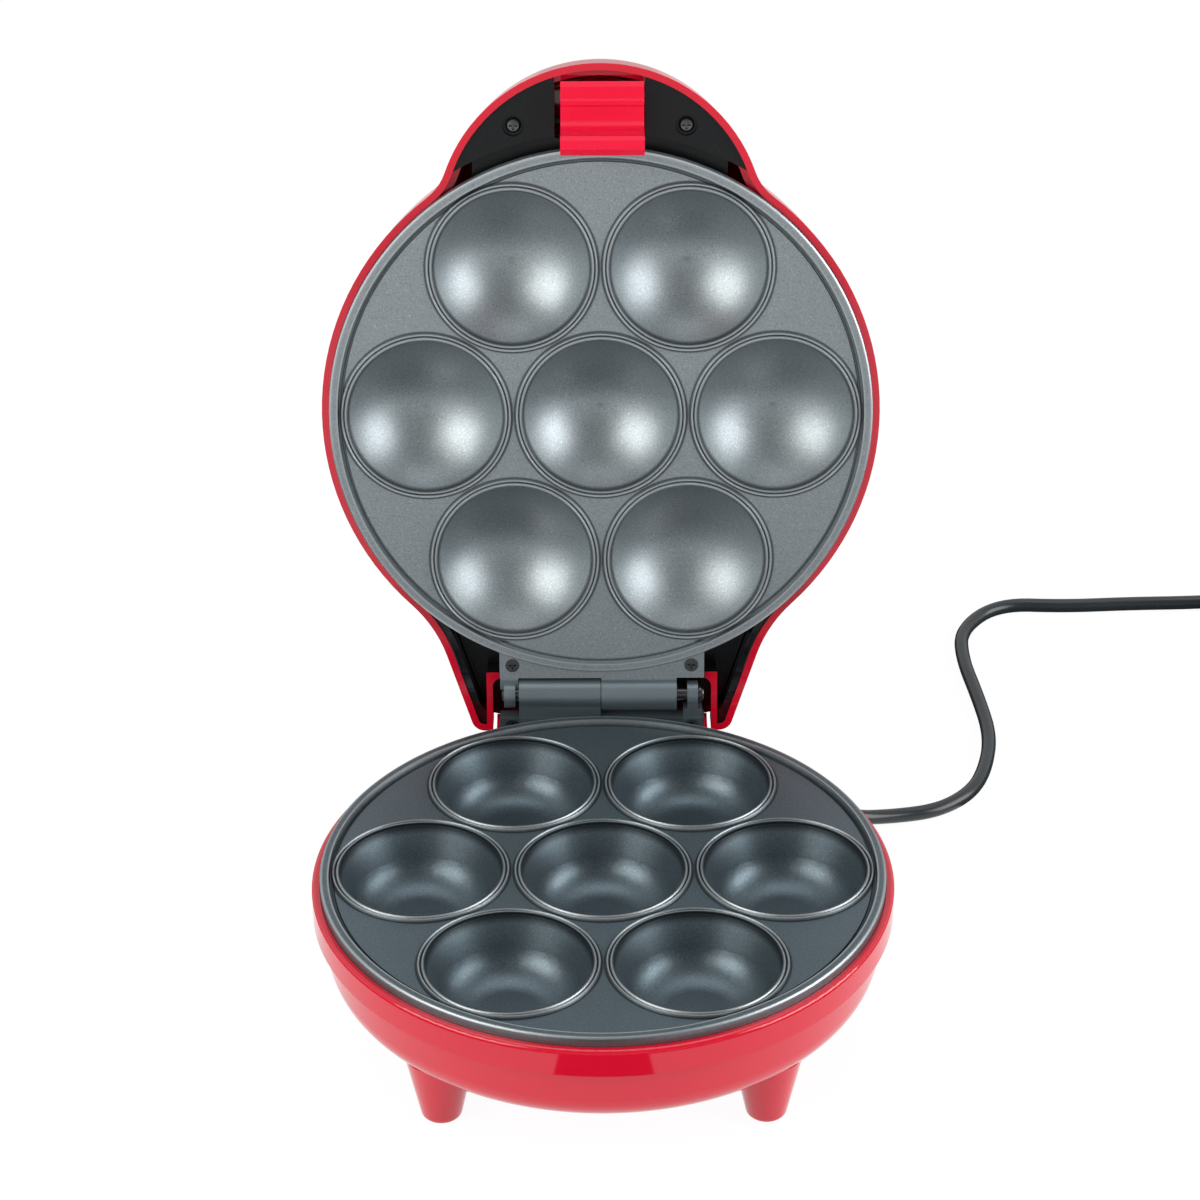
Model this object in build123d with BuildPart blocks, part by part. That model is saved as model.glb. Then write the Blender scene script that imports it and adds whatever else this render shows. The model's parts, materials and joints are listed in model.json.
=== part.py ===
"""Cupcake maker with seven cups, opened to its stop: two cast plates in moulded shells on one hinge.

Each half is drawn in its own frame. The origin is the middle of the cooking plate, on its flat field,
X runs along the hinge and Z points out of the plate. The base half lies flat and the lid half leans
back on the hinge. Both frames are placed in the part's frame, whose floor is at Z = 0.
"""

import os
from math import asin, atan, cos, degrees, pi, radians, sin, sqrt

from build123d import *

os.makedirs("parts", exist_ok=True)

# Driving dimensions in millimetres and degrees.

# Cooking plates
CUP_PITCH = 64.0
CUPS_AROUND = 6
CUP_MOUTH = 28.7
BASE_CUP_DEPTH = 20.0
BASE_CUP_FLOOR = 21.0
BASE_CUP_CORNER = 14.0
LID_CUP_DEPTH = 16.5
CUP_WALL = 2.4
RING_FOOT = 31.4
RING_HEIGHT = 1.1
RING_VALLEY = 0.4
PLATE_RADIUS = 99.4
PLATE_THICK = 3.4
RIM_WIDTH = 3.5
RIM_HEIGHT = 1.6
GROOVE_WIDTH = 1.2
GROOVE_DEPTH = 0.7
RIM_GAP = 0.2

# Hinge
HINGE_Y = 109.3
OPEN_LEAN = 11.42
BARREL_RADIUS = 6.2
EAR_RADIUS = 5.0
PIN_RADIUS = 2.5
RUNNING_FIT = 0.05
TAB_HALF = 38.3
TAB_THICK = 3.0
TAB_START = 88.0
TAB_FIT = 0.3
BASE_TAB_DROP = 2.0
BASE_TAB_END = 109.0
LID_TAB_END = 102.4
BASE_KNUCKLE = (-31.1, -0.5)
LID_KNUCKLE = (-0.2, 28.0)
BASE_EAR = (32.0, 36.0)
LID_EAR = (-36.7, -32.5)
EAR_FOOT_HALF = 3.55

# Base shell
WALL = 2.5
SEAT_FIT = 0.2
FLANGE_RADIUS = 102.3
FLANGE_TOP = 1.9
FLANGE_DEPTH = 12.0
FLANGE_STEP = 2.7
BOWL_DEPTH = 37.3
BOWL_TAPER = 3.0
BOWL_CORNER = 13.0
LEG_X = 56.0
LEG_Y = 60.0
REAR_LEG_X = 36.0
REAR_LEG_Y = 95.0
LEG_TOP_RADIUS = 12.4
LEG_END_RADIUS = 6.8
LEG_LENGTH = 23.4
PAD_RADIUS = 4.6
PAD_PROUD = 0.5
SHELF_HALF = 39.5
SHELF_END = 111.5
HOUSING_HALF = 46.0
HOUSING_END = 114.0
HOUSING_TOP = 14.5
HOUSING_CORNER = 8.0
VENT_COUNT = 8

# Lid shell
LID_RADIUS = 102.2
LID_EDGE = 1.8
BAND_DEPTH = 9.0
BAND_STEP = 2.6
LID_DEPTH = 36.0
LID_ROUND = 9.0
CROWN_RADIUS = 1668.0
LOBE_RADIUS = 59.1
LOBE_Y = 70.5
LOBE_BLEND = 20.0
TAIL_END = 124.0
TAIL_HALF = 47.75
TAIL_FLARE = 0.34
TAIL_BLEND = 50.0
NOTCH_HALF = 41.0
NOTCH_TOP = 103.0
NOTCH_DEPTH = 13.0
NOTCH_LINING = 2.3
NOTCH_CORNER = 3.5
LINER_THICK = 1.5
LINER_FIT = 0.3
LENS_X = 9.0
LENS_Y = 50.0
LENS_RADIUS = 4.0
LENS_LIP = 1.2
HOLDER_HALF_WIDTH = 17.0
HOLDER_HALF_HEIGHT = 9.0
HOLDER_THICK = 1.6
HOLDER_DROP = 29.5
HOLDER_POST_RADIUS = 2.0
LAMP_RADIUS = 2.2
LAMP_BASE_RADIUS = 3.2

# Handle insert and latch
INSERT_DROP = 3.0
INSERT_THICK = 2.5
INSERT_STEP_RADIUS = 104.5
INSERT_END = 85.0
SLOT_HALF = 16.2
SLOT_INNER = 101.5
LATCH_HALF = 14.9
LATCH_SHIFT = 0.9
LATCH_PIVOT_Y = 108.0
LATCH_PIVOT_DROP = 6.0
LATCH_BARREL = 3.2
LATCH_PIN = 1.5
HOOK_NOSE_Y = 100.5
HOOK_GRIP = 0.3
HANDLE_SCREW = (31.0, 107.0)
HANDLE_BOSS_RADIUS = 3.6
HANDLE_PILOT_DEPTH = 18.0
INSERT_HALF = 56.0
INSERT_STEP_HALF = 46.0
SPRING_FOOT = -20.0
SPRING_HALF = 4.0
SPRING_THICK = 0.5

# Inside each half
ELEMENT_RADIUS = 32.0
ELEMENT_TUBE = 3.25
ELEMENT_DROP = 9.0
BOSS_RADIUS = 3.0
CLAMP_BOSS_AT = 41.0
SHIELD_BOSS_AT = 80.0
SHIELD_RADIUS = 91.0
SHIELD_DROP = 25.0
SHEET = 0.8
RIM_POST_RADIUS = 3.6
RIM_POST_GAP = 2.4
VENT_INNER = 52.0
VENT_OUTER = 74.0
VENT_HALF = 2.0
THERMOSTAT_AT = 82.0
THERMOSTAT_RADIUS = 8.0
FUSE_RADIUS = 1.9
BLOCK_X = (-22.0, 6.0)
BLOCK_Y = (94.0, 104.0)
BLOCK_HEIGHT = 11.0
CLAMP_X = (16.0, 23.0)
CLAMP_REACH = 8.0
CLAMP_POST_REACH = 5.9

# Screws
TAB_SCREW_X = 33.5
BASE_TAB_SCREW_Y = 99.5
LID_TAB_SCREW_Y = -97.3
TAB_SCREW_HEAD = 2.6
TAB_SCREW_SHAFT = 1.5
CLAMP_SCREW_SHAFT = 1.2
SHIELD_SCREW_SHAFT = 1.6
RAISED_HEAD = 2.9
CLAMP_HEAD = 2.3
TAB_SCREW_LENGTH = 10.0
INSERT_SCREW_LENGTH = 12.0
SHIELD_SCREW_LENGTH = 9.0
SHIELD_PILOT_DEPTH = 11.0
CLAMP_SCREW_LENGTH = 6.0
HOLE_FIT = 0.05

# Cord, coil and plug
CORD_RADIUS = 2.85
CORD_LIE = 0.05
CORD_EXIT_Y = 99.0
CORD_EXIT_Z = 34.2
BUSH_LENGTH = 18.0
BUSH_NECK = 4.6
BUSH_COLLAR = 6.0
BUSH_COLLAR_THICK = 2.0
BUSH_ROOT = 5.2
BUSH_RIBS = 4
COIL_INNER = 27.5
COIL_PITCH = 6.2
COIL_TURNS = 3.25
COIL_MIDDLE = 1.5
CLIMB_TURNS = 0.5
COIL_X = 296.0
COIL_START_Y = 281.5
COIL_LEAD = 10.0
COIL_TAIL = 29.0
TIE_THICK = 0.7
TIE_GAP = 0.3
PLUG_WIDTH = 36.0
PLUG_LENGTH = 40.0
PLUG_BOOT = 12.0
PLUG_PIN_RADIUS = 2.4
PLUG_PIN_LENGTH = 19.0
PLUG_PIN_PITCH = 19.0

# Values that follow from the driving dimensions.
PLATE_Z = BOWL_DEPTH + LEG_LENGTH
PLATE_GAP = 2 * RIM_HEIGHT + RIM_GAP
LID_HINGE_Z = -PLATE_GAP / 2 + 0.05
BASE_HINGE_Z = PLATE_GAP - LID_HINGE_Z
LEAN = radians(OPEN_LEAN)
RING_CREST = (CUP_MOUTH + RING_FOOT) / 2
SEAT_RADIUS = PLATE_RADIUS + SEAT_FIT
INNER_RADIUS = FLANGE_RADIUS - FLANGE_STEP - WALL
LID_BACK = HINGE_Y + (HINGE_Y + LOBE_Y + LOBE_RADIUS) * sin(LEAN) + 0.72 * LID_DEPTH
AXIS_Y = -(LID_BACK - FLANGE_RADIUS) / 2
COIL_FLOOR = CORD_RADIUS + CORD_LIE + TIE_THICK + TIE_GAP
COIL_CENTRE = (COIL_X, COIL_START_Y - COIL_INNER - COIL_PITCH * COIL_MIDDLE)
CORD_Z = CORD_EXIT_Z - PLATE_Z
INNER_FLOOR = -BOWL_DEPTH + WALL
LID_INNER = -LID_DEPTH + WALL
LEG_PLACES = [(-LEG_X, -LEG_Y), (LEG_X, -LEG_Y), (-REAR_LEG_X, REAR_LEG_Y), (REAR_LEG_X, REAR_LEG_Y)]
LENS_PLACES = [(-LENS_X, LENS_Y), (LENS_X, LENS_Y)]

BASE = Plane((0, AXIS_Y, PLATE_Z))
LID_OUT = Vector(0, -cos(LEAN), sin(LEAN))
LID_UP = Vector(0, sin(LEAN), cos(LEAN))
HINGE_POINT = Vector(0, AXIS_Y + HINGE_Y, PLATE_Z + BASE_HINGE_Z)
LID = Plane(HINGE_POINT + LID_UP * HINGE_Y - LID_OUT * LID_HINGE_Z, x_dir=(1, 0, 0), z_dir=LID_OUT)
FLOOR = Plane((0, AXIS_Y, 0))
HALF_TURN = (0, 0, 180)

CUP_PLACES = [(0, 0)] + [
    (CUP_PITCH * cos(2 * pi * n / CUPS_AROUND), CUP_PITCH * sin(2 * pi * n / CUPS_AROUND))
    for n in range(CUPS_AROUND)
]

# The cord's route from its bush to the coil: across from the bowl's axis, behind it, and above the floor
LIE = CORD_RADIUS + CORD_LIE
CORD_ROUTE = [
    (HOUSING_HALF + BUSH_LENGTH, CORD_EXIT_Y, CORD_EXIT_Z),
    (79, CORD_EXIT_Y, CORD_EXIT_Z),
    (91, 103, 25.5),
    (97, 112.5, 9.5),
    (114, 119.8, LIE),
    (131, 124, LIE),
    (144.5, 136.5, LIE),
    (151.5, 154, LIE),
    (155.5, 178, LIE),
    (153, 207, LIE),
    (149.3, 236, LIE),
    (150.5, 260, LIE),
    (168, 281, LIE),
    (196, 279, LIE),
    (224, 281, LIE),
    (248, 281.5, LIE),
    (268, COIL_START_Y, COIL_FLOOR),
    (COIL_X - COIL_LEAD, COIL_START_Y, COIL_FLOOR),
]


def write(piece, name, frame=Plane.XY):
    """Place a finished piece by the plane of its half, label it and write it."""
    placed = piece.part.moved(frame.location)
    placed.label = name
    export_step(placed, f"parts/{name}.step")


def ring_of(radius, count, start):
    """Return count points on a circle, the first of them start degrees from X."""
    return [
        (radius * cos(radians(start + 360 * n / count)), radius * sin(radians(start + 360 * n / count)))
        for n in range(count)
    ]


def turned(points, corners=()):
    """Return the solid that a closed outline of (radius, height) points makes about Z.

    Each corner is (index, radius): the outline is rounded there.
    """
    with BuildPart() as solid:
        with BuildSketch(Plane.XZ) as outline:
            with BuildLine():
                Polyline(points, close=True)
            make_face()
            for index, radius in corners:
                fillet(outline.vertices().sort_by_distance(points[index])[0], radius=radius)
        revolve(axis=Axis.Z)
    return solid.part


def block(x_span, y_span, z_span, corner=0.0):
    """Return an upright block between two corners, its upright edges rounded."""
    with BuildPart() as solid:
        with BuildSketch(Plane.XY.offset(z_span[0])):
            with Locations(((x_span[0] + x_span[1]) / 2, (y_span[0] + y_span[1]) / 2)):
                Rectangle(x_span[1] - x_span[0], y_span[1] - y_span[0])
        extrude(amount=z_span[1] - z_span[0])
        if corner:
            fillet(solid.edges().filter_by(Axis.Z), radius=corner)
    return solid.part


def post(radius, z_span, end_radius=None):
    """Return an upright round post, tapered where an end radius is given."""
    end = radius if end_radius is None else end_radius
    low, high = z_span
    return turned([(0, low), (radius, low), (end, high), (0, high)])


def screw(head_radius, shaft_radius, length, sunk=True):
    """Return a cross-head screw that points down, its head's top (or foot, if raised) at the origin."""
    head = 0.9 * head_radius
    if sunk:
        outline = [(0, 0), (head_radius, 0), (head_radius, -0.3), (shaft_radius, -head)]
    else:
        outline = [(0, 0.6 * head_radius), (0.7 * head_radius, 0.5 * head_radius), (head_radius, 0)]
        outline.append((shaft_radius, 0))
    outline += [(shaft_radius, -length + shaft_radius), (0, -length)]
    top = 0 if sunk else 0.6 * head_radius
    with BuildPart() as piece:
        add(turned(outline))
        with BuildSketch(Plane.XY.offset(top)):
            Rectangle(1.1 * head_radius, 0.24 * head_radius)
            Rectangle(0.24 * head_radius, 1.1 * head_radius)
        extrude(amount=-0.45 * head_radius, mode=Mode.SUBTRACT)
    return piece.part


# Cooking plates


def base_cup(grow):
    """Return a drafted cup with a rounded floor; grow makes the outside of its wall."""
    mouth = CUP_MOUTH + grow
    depth = BASE_CUP_DEPTH + grow
    points = [(0, 0), (mouth, 0), (BASE_CUP_FLOOR + grow, -depth), (0, -depth)]
    return turned(points, [(2, BASE_CUP_CORNER + grow)])


def lid_cup(grow):
    """Return a dome, part of a ball; grow makes the outside of its wall."""
    mouth = CUP_MOUTH + grow
    depth = LID_CUP_DEPTH + grow
    ball = (mouth**2 + depth**2) / (2 * depth)
    half = asin(mouth / ball) / 2
    with BuildPart() as dome:
        with BuildSketch(Plane.XZ):
            with BuildLine():
                ThreePointArc((0, -depth), (ball * sin(half), ball - depth - ball * cos(half)), (mouth, 0))
                Polyline((mouth, 0), (0, 0), (0, -depth))
            make_face()
        revolve(axis=Axis.Z)
    return dome.part


def cup_ring():
    """Return the double ridge round a cup, as a ring about Z."""
    ridge = (RING_FOOT - CUP_MOUTH) / 5
    return turned(
        [
            (CUP_MOUTH - 0.2, -1),
            (CUP_MOUTH - 0.2, RING_HEIGHT),
            (CUP_MOUTH + 1.5 * ridge, RING_HEIGHT),
            (RING_CREST, RING_VALLEY),
            (RING_FOOT - 1.5 * ridge, RING_HEIGHT),
            (RING_FOOT - 0.8 * ridge, RING_HEIGHT),
            (RING_FOOT, 0),
            (RING_FOOT, -1),
        ]
    )


def plate_disc():
    """Return the plate's disc with its groove and raised rim."""
    rim_inner = PLATE_RADIUS - RIM_WIDTH
    groove = rim_inner - GROOVE_WIDTH
    return turned(
        [
            (0, -PLATE_THICK),
            (0, 0),
            (groove - GROOVE_DEPTH / 2, 0),
            (groove, -GROOVE_DEPTH),
            (rim_inner, -GROOVE_DEPTH),
            (rim_inner + 0.4, RIM_HEIGHT),
            (PLATE_RADIUS - 0.5, RIM_HEIGHT),
            (PLATE_RADIUS, RIM_HEIGHT - 0.5),
            (PLATE_RADIUS, -PLATE_THICK),
        ]
    )


def knuckle(x_span, axis_y, axis_z, radius, foot):
    """Return a hinge barrel along X on a foot, which is a block between two (y, z) corners."""
    low, high = foot
    with BuildPart() as barrel:
        with BuildSketch(Plane.YZ.offset(x_span[0])):
            with Locations((axis_y, axis_z)):
                Circle(radius)
            with Locations(((low[0] + high[0]) / 2, (low[1] + high[1]) / 2)):
                Rectangle(high[0] - low[0], high[1] - low[1])
        extrude(amount=x_span[1] - x_span[0])
    return barrel.part


def rod(x_span, axis_y, axis_z, radius):
    """Return a round rod along X."""
    with BuildPart() as piece:
        with BuildSketch(Plane.YZ.offset(x_span[0])):
            with Locations((axis_y, axis_z)):
                Circle(radius)
        extrude(amount=x_span[1] - x_span[0])
    return piece.part


def plate_bosses():
    """Return the element seats, clamp bosses and shield bosses that hang under a plate."""
    seat = post(BOSS_RADIUS - 0.2, (-ELEMENT_DROP + ELEMENT_TUBE, -1))
    clamp_boss = post(BOSS_RADIUS, (-ELEMENT_DROP - ELEMENT_TUBE, -1))
    shield_boss = post(BOSS_RADIUS + 1, (-SHIELD_DROP, -1))
    with BuildPart() as bosses:
        with Locations(*ring_of(ELEMENT_RADIUS, 3, 90)):
            add(seat)
        with Locations(*ring_of(CLAMP_BOSS_AT, 3, 90)):
            add(clamp_boss)
        with Locations(*ring_of(SHIELD_BOSS_AT, 3, 90)):
            add(shield_boss)
    return bosses.part


def boss_pilots():
    """Return the tools that cut the pilot holes of the clamp and shield screws."""
    clamp_pilot = post(CLAMP_SCREW_SHAFT, (-ELEMENT_DROP - ELEMENT_TUBE - 1, -PLATE_THICK - 0.5))
    shield_pilot = post(SHIELD_SCREW_SHAFT, (-SHIELD_DROP - 1, -SHIELD_DROP + SHIELD_PILOT_DEPTH))
    with BuildPart() as pilots:
        with Locations(*ring_of(CLAMP_BOSS_AT, 3, 90)):
            add(clamp_pilot)
        with Locations(*ring_of(SHIELD_BOSS_AT, 3, 90)):
            add(shield_pilot)
    return pilots.part


def sunk_hole(head_radius, shaft_radius, depth):
    """Return the tool that cuts a countersunk hole from the origin down."""
    head = 0.9 * head_radius + HOLE_FIT
    mouth = head_radius + HOLE_FIT
    shaft = shaft_radius + HOLE_FIT
    return turned([(0, 1), (mouth, 1), (mouth, -0.3), (shaft, -head), (shaft, -depth), (0, -depth)])


def make_base_plate():
    tab_top = -BASE_TAB_DROP
    disc = plate_disc()
    tab = block((-TAB_HALF, TAB_HALF), (TAB_START, BASE_TAB_END), (tab_top - TAB_THICK, tab_top))
    outside = base_cup(CUP_WALL)
    ring = cup_ring()
    bosses = plate_bosses()
    ear = (BASE_EAR[0] + BASE_EAR[1]) / 2
    foot_front = HINGE_Y - BARREL_RADIUS + 0.4
    foot_low = (foot_front, tab_top - 0.5)
    foot = block(
        (ear - EAR_FOOT_HALF, ear + EAR_FOOT_HALF),
        (foot_front, BASE_TAB_END),
        (tab_top - 0.5, BASE_HINGE_Z - PIN_RADIUS - 1),
    )
    long_knuckle = knuckle(
        BASE_KNUCKLE, HINGE_Y, BASE_HINGE_Z, BARREL_RADIUS, (foot_low, (HINGE_Y, BASE_HINGE_Z))
    )
    ear_knuckle = knuckle(BASE_EAR, HINGE_Y, BASE_HINGE_Z, EAR_RADIUS, (foot_low, (HINGE_Y, BASE_HINGE_Z)))
    bore = rod((-HOUSING_HALF, HOUSING_HALF), HINGE_Y, BASE_HINGE_Z, PIN_RADIUS)
    inside = base_cup(0)
    mouth = post(CUP_MOUTH, (0, RING_HEIGHT + 1))
    pilots = boss_pilots()
    tab_hole = sunk_hole(TAB_SCREW_HEAD, TAB_SCREW_SHAFT, TAB_THICK + 1)
    with BuildPart() as base_plate:
        add([disc, tab, bosses, foot, long_knuckle, ear_knuckle])
        with Locations(*CUP_PLACES):
            add([outside, ring])
        with Locations(*CUP_PLACES):
            add([inside, mouth], mode=Mode.SUBTRACT)
        add(pilots, mode=Mode.SUBTRACT)
        with Locations((TAB_SCREW_X, BASE_TAB_SCREW_Y, tab_top), (-TAB_SCREW_X, BASE_TAB_SCREW_Y, tab_top)):
            add(tab_hole, mode=Mode.SUBTRACT)
        add(bore, mode=Mode.SUBTRACT)
    write(base_plate, "base_plate", BASE)


def make_lid_plate():
    disc = plate_disc()
    tab = block((-TAB_HALF, TAB_HALF), (-LID_TAB_END, -TAB_START), (-TAB_THICK, 0))
    outside = lid_cup(CUP_WALL)
    ring = cup_ring()
    bosses = plate_bosses()
    ear = (LID_EAR[0] + LID_EAR[1]) / 2
    foot = block(
        (ear - EAR_FOOT_HALF, ear + EAR_FOOT_HALF - 0.3),
        (-HINGE_Y + PIN_RADIUS, -LID_TAB_END + 0.5),
        (-TAB_THICK, 0),
    )
    web = ((-HINGE_Y, -TAB_THICK), (-LID_TAB_END + 0.5, 0))
    long_knuckle = knuckle(LID_KNUCKLE, -HINGE_Y, LID_HINGE_Z, BARREL_RADIUS, web)
    ear_knuckle = knuckle(LID_EAR, -HINGE_Y, LID_HINGE_Z, EAR_RADIUS, web)
    bore = rod((-HOUSING_HALF, HOUSING_HALF), -HINGE_Y, LID_HINGE_Z, PIN_RADIUS + RUNNING_FIT)
    inside = lid_cup(0)
    mouth = post(CUP_MOUTH, (0, RING_HEIGHT + 1))
    pilots = boss_pilots()
    tab_hole = sunk_hole(TAB_SCREW_HEAD, TAB_SCREW_SHAFT, TAB_THICK + 1)
    with BuildPart() as lid_plate:
        add([disc, tab, foot, long_knuckle, ear_knuckle])
        add(bosses, rotation=HALF_TURN)
        with Locations(*CUP_PLACES):
            add([outside, ring])
        with Locations(*CUP_PLACES):
            add([inside, mouth], mode=Mode.SUBTRACT)
        add(pilots, rotation=HALF_TURN, mode=Mode.SUBTRACT)
        with Locations((TAB_SCREW_X, LID_TAB_SCREW_Y), (-TAB_SCREW_X, LID_TAB_SCREW_Y)):
            add(tab_hole, mode=Mode.SUBTRACT)
        add(bore, mode=Mode.SUBTRACT)
    write(lid_plate, "lid_plate", LID)


# Base shell


def bowl(inset, top):
    """Return the filled bowl, inset from its outside, from its bottom up to a height."""
    low = -BOWL_DEPTH + inset
    wall = FLANGE_RADIUS - FLANGE_STEP - inset
    points = [(0, low), (wall - BOWL_TAPER, low), (wall, -FLANGE_DEPTH), (wall, top), (0, top)]
    return turned(points, [(1, BOWL_CORNER - inset)])


def housing(inset):
    """Return the filled hinge housing behind the bowl, inset from its outside."""
    half = HOUSING_HALF - inset
    end = HOUSING_END - inset
    low = -BOWL_DEPTH + inset
    with BuildPart() as solid:
        with BuildSketch(Plane.XY.offset(low)):
            with Locations((0, end - half)):
                Rectangle(2 * half, 2 * half)
        extrude(amount=-HOUSING_TOP - inset - low)
        fillet(solid.edges().filter_by(Axis.Z).group_by(Axis.Y)[-1], radius=HOUSING_CORNER - inset)
        fillet(solid.edges().group_by(Axis.Z)[0].filter_by(lambda e: e.center().Y > half), radius=6 - inset)
    return solid.part


def shelf(inset):
    """Return the filled shelf that carries the plate's hinge tab, inset from its outside."""
    half = SHELF_HALF - inset
    top = -BASE_TAB_DROP - TAB_THICK - inset
    return block((-half, half), (60, SHELF_END - inset), (-HOUSING_TOP - WALL - 1, top))


def leg(inset):
    """Return a filled tapered leg that stands on the floor, inset from its outside."""
    low = -PLATE_Z + PAD_PROUD + inset
    top = -BOWL_DEPTH + 3.6
    points = [(0, low), (LEG_END_RADIUS - inset, low), (LEG_TOP_RADIUS - inset, top), (0, top)]
    return turned(points, [(1, 2.8)] if not inset else [])


def make_base_shell():
    outer = bowl(0, -FLANGE_TOP)
    flange = turned(
        [
            (INNER_RADIUS, -FLANGE_DEPTH),
            (FLANGE_RADIUS, -FLANGE_DEPTH),
            (FLANGE_RADIUS, -FLANGE_TOP),
            (INNER_RADIUS, -FLANGE_TOP),
        ],
        [(2, 1.5)],
    )
    leg_outside = leg(0)
    leg_inside = leg(WALL)
    inside = bowl(WALL, -PLATE_THICK + 1)
    ledge = post(SEAT_RADIUS, (-PLATE_THICK, 0))
    tab_half = TAB_HALF + TAB_FIT
    tab_room = block((-tab_half, tab_half), (80, SHELF_END + 1), (-BASE_TAB_DROP - TAB_THICK, 0))
    tab_boss = post(3.6, (-HOUSING_TOP - 1.5, -BASE_TAB_DROP - TAB_THICK))
    tab_pilot = post(TAB_SCREW_SHAFT + HOLE_FIT, (-HOUSING_TOP - 1, 0))
    pad_seat = post(PAD_RADIUS, (-PLATE_Z - 1, -PLATE_Z + PAD_PROUD + 1))
    vent_z = (-BOWL_DEPTH - 1, INNER_FLOOR + 1)
    vent = block((VENT_INNER, VENT_OUTER), (-VENT_HALF, VENT_HALF), vent_z, 0.95 * VENT_HALF)
    rim_post = post(RIM_POST_RADIUS, (INNER_FLOOR - 1, -SHIELD_DROP - SHEET - RIM_POST_GAP))
    clamp_post = post(2.8, (INNER_FLOOR - 1, CORD_Z - CORD_RADIUS))
    cord_hole = rod((HOUSING_HALF - WALL - 0.5, HOUSING_HALF + 5), CORD_EXIT_Y, CORD_Z, BUSH_NECK)
    clamp_x = (CLAMP_X[0] + CLAMP_X[1]) / 2
    clamp_places = [(clamp_x, CORD_EXIT_Y + reach) for reach in (-CLAMP_POST_REACH, CLAMP_POST_REACH)]
    with BuildPart() as base_shell:
        add([outer, flange, housing(0), shelf(0)])
        with Locations(*LEG_PLACES):
            add(leg_outside)
        add([inside, ledge, housing(WALL), shelf(WALL), tab_room], mode=Mode.SUBTRACT)
        with Locations(*LEG_PLACES):
            add(leg_inside, mode=Mode.SUBTRACT)
            add(pad_seat, mode=Mode.SUBTRACT)
        with Locations((TAB_SCREW_X, BASE_TAB_SCREW_Y), (-TAB_SCREW_X, BASE_TAB_SCREW_Y)):
            add(tab_boss)
            add(tab_pilot, mode=Mode.SUBTRACT)
        with PolarLocations(0, VENT_COUNT):
            add(vent, mode=Mode.SUBTRACT)
        with Locations(*ring_of(SHIELD_BOSS_AT, 3, 90)):
            add(rim_post)
        with Locations(*clamp_places):
            add(clamp_post)
        add(cord_hole, mode=Mode.SUBTRACT)
    write(base_shell, "base_shell", BASE)


def make_foot_pads():
    pad = turned(
        [(0, 0), (PAD_RADIUS - HOLE_FIT, 0), (PAD_RADIUS - HOLE_FIT, PAD_PROUD + 1), (0, PAD_PROUD + 1)],
        [(1, 0.4)],
    )
    with BuildPart() as foot_pads:
        with Locations(*LEG_PLACES):
            add(pad)
    write(foot_pads, "foot_pads", FLOOR)


# Lid shell


def lid_outline(corner, inset):
    """Return the lid's outline as a flat face: the disc, the handle lobe and the hinge tail."""
    end = -TAIL_END + inset
    half = TAIL_HALF + TAIL_FLARE * inset - inset * sqrt(1 + TAIL_FLARE**2)
    shoulder = half - TAIL_FLARE * end
    with BuildSketch() as outline:
        Circle(LID_RADIUS - inset)
        with Locations((0, LOBE_Y)):
            Circle(LOBE_RADIUS - inset)
        with BuildLine():
            Polyline((-half, end), (half, end), (shoulder, 0), (-shoulder, 0), close=True)
        make_face()
        fillet(outline.vertices().filter_by_position(Axis.Y, end - 1, end + 1), radius=corner - inset)
        fillet(outline.vertices().filter_by_position(Axis.Y, LOBE_Y, LID_RADIUS), radius=LOBE_BLEND + inset)
        fillet(outline.vertices().filter_by_position(Axis.Y, -LID_RADIUS, -60), radius=TAIL_BLEND + inset)
    return outline.sketch


def lid_slab(corner, inset, low, high):
    """Return the lid's outline as a slab between two heights."""
    face = lid_outline(corner, inset)
    with BuildPart() as slab:
        with BuildSketch(Plane.XY.offset(low)):
            add(face)
        extrude(amount=high - low)
    return slab.part


def lid_form(inset, top):
    """Return the filled lid with its crowned top and rounded edge, inset from its outside."""
    crown = CROWN_RADIUS - inset
    slab = lid_slab(LID_ROUND + 5, BAND_STEP + inset, -LID_DEPTH - 5, top)
    with BuildPart() as form:
        add(slab)
        with Locations((0, 0, -LID_DEPTH + CROWN_RADIUS)):
            Sphere(crown, mode=Mode.INTERSECT)
        fillet(form.faces().sort_by(Axis.Z)[0].edges(), radius=LID_ROUND - inset)
    return form.part


def lid_band():
    """Return the lid's lip: a slab whose sides draw in to the body by the band's step."""
    face = lid_outline(5, 0)
    depth = BAND_DEPTH - LID_EDGE
    with BuildPart() as band:
        with BuildSketch(Plane.XY.offset(-LID_EDGE)):
            add(face)
        extrude(amount=-depth, taper=degrees(atan(BAND_STEP / depth)))
    return band.part


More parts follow.
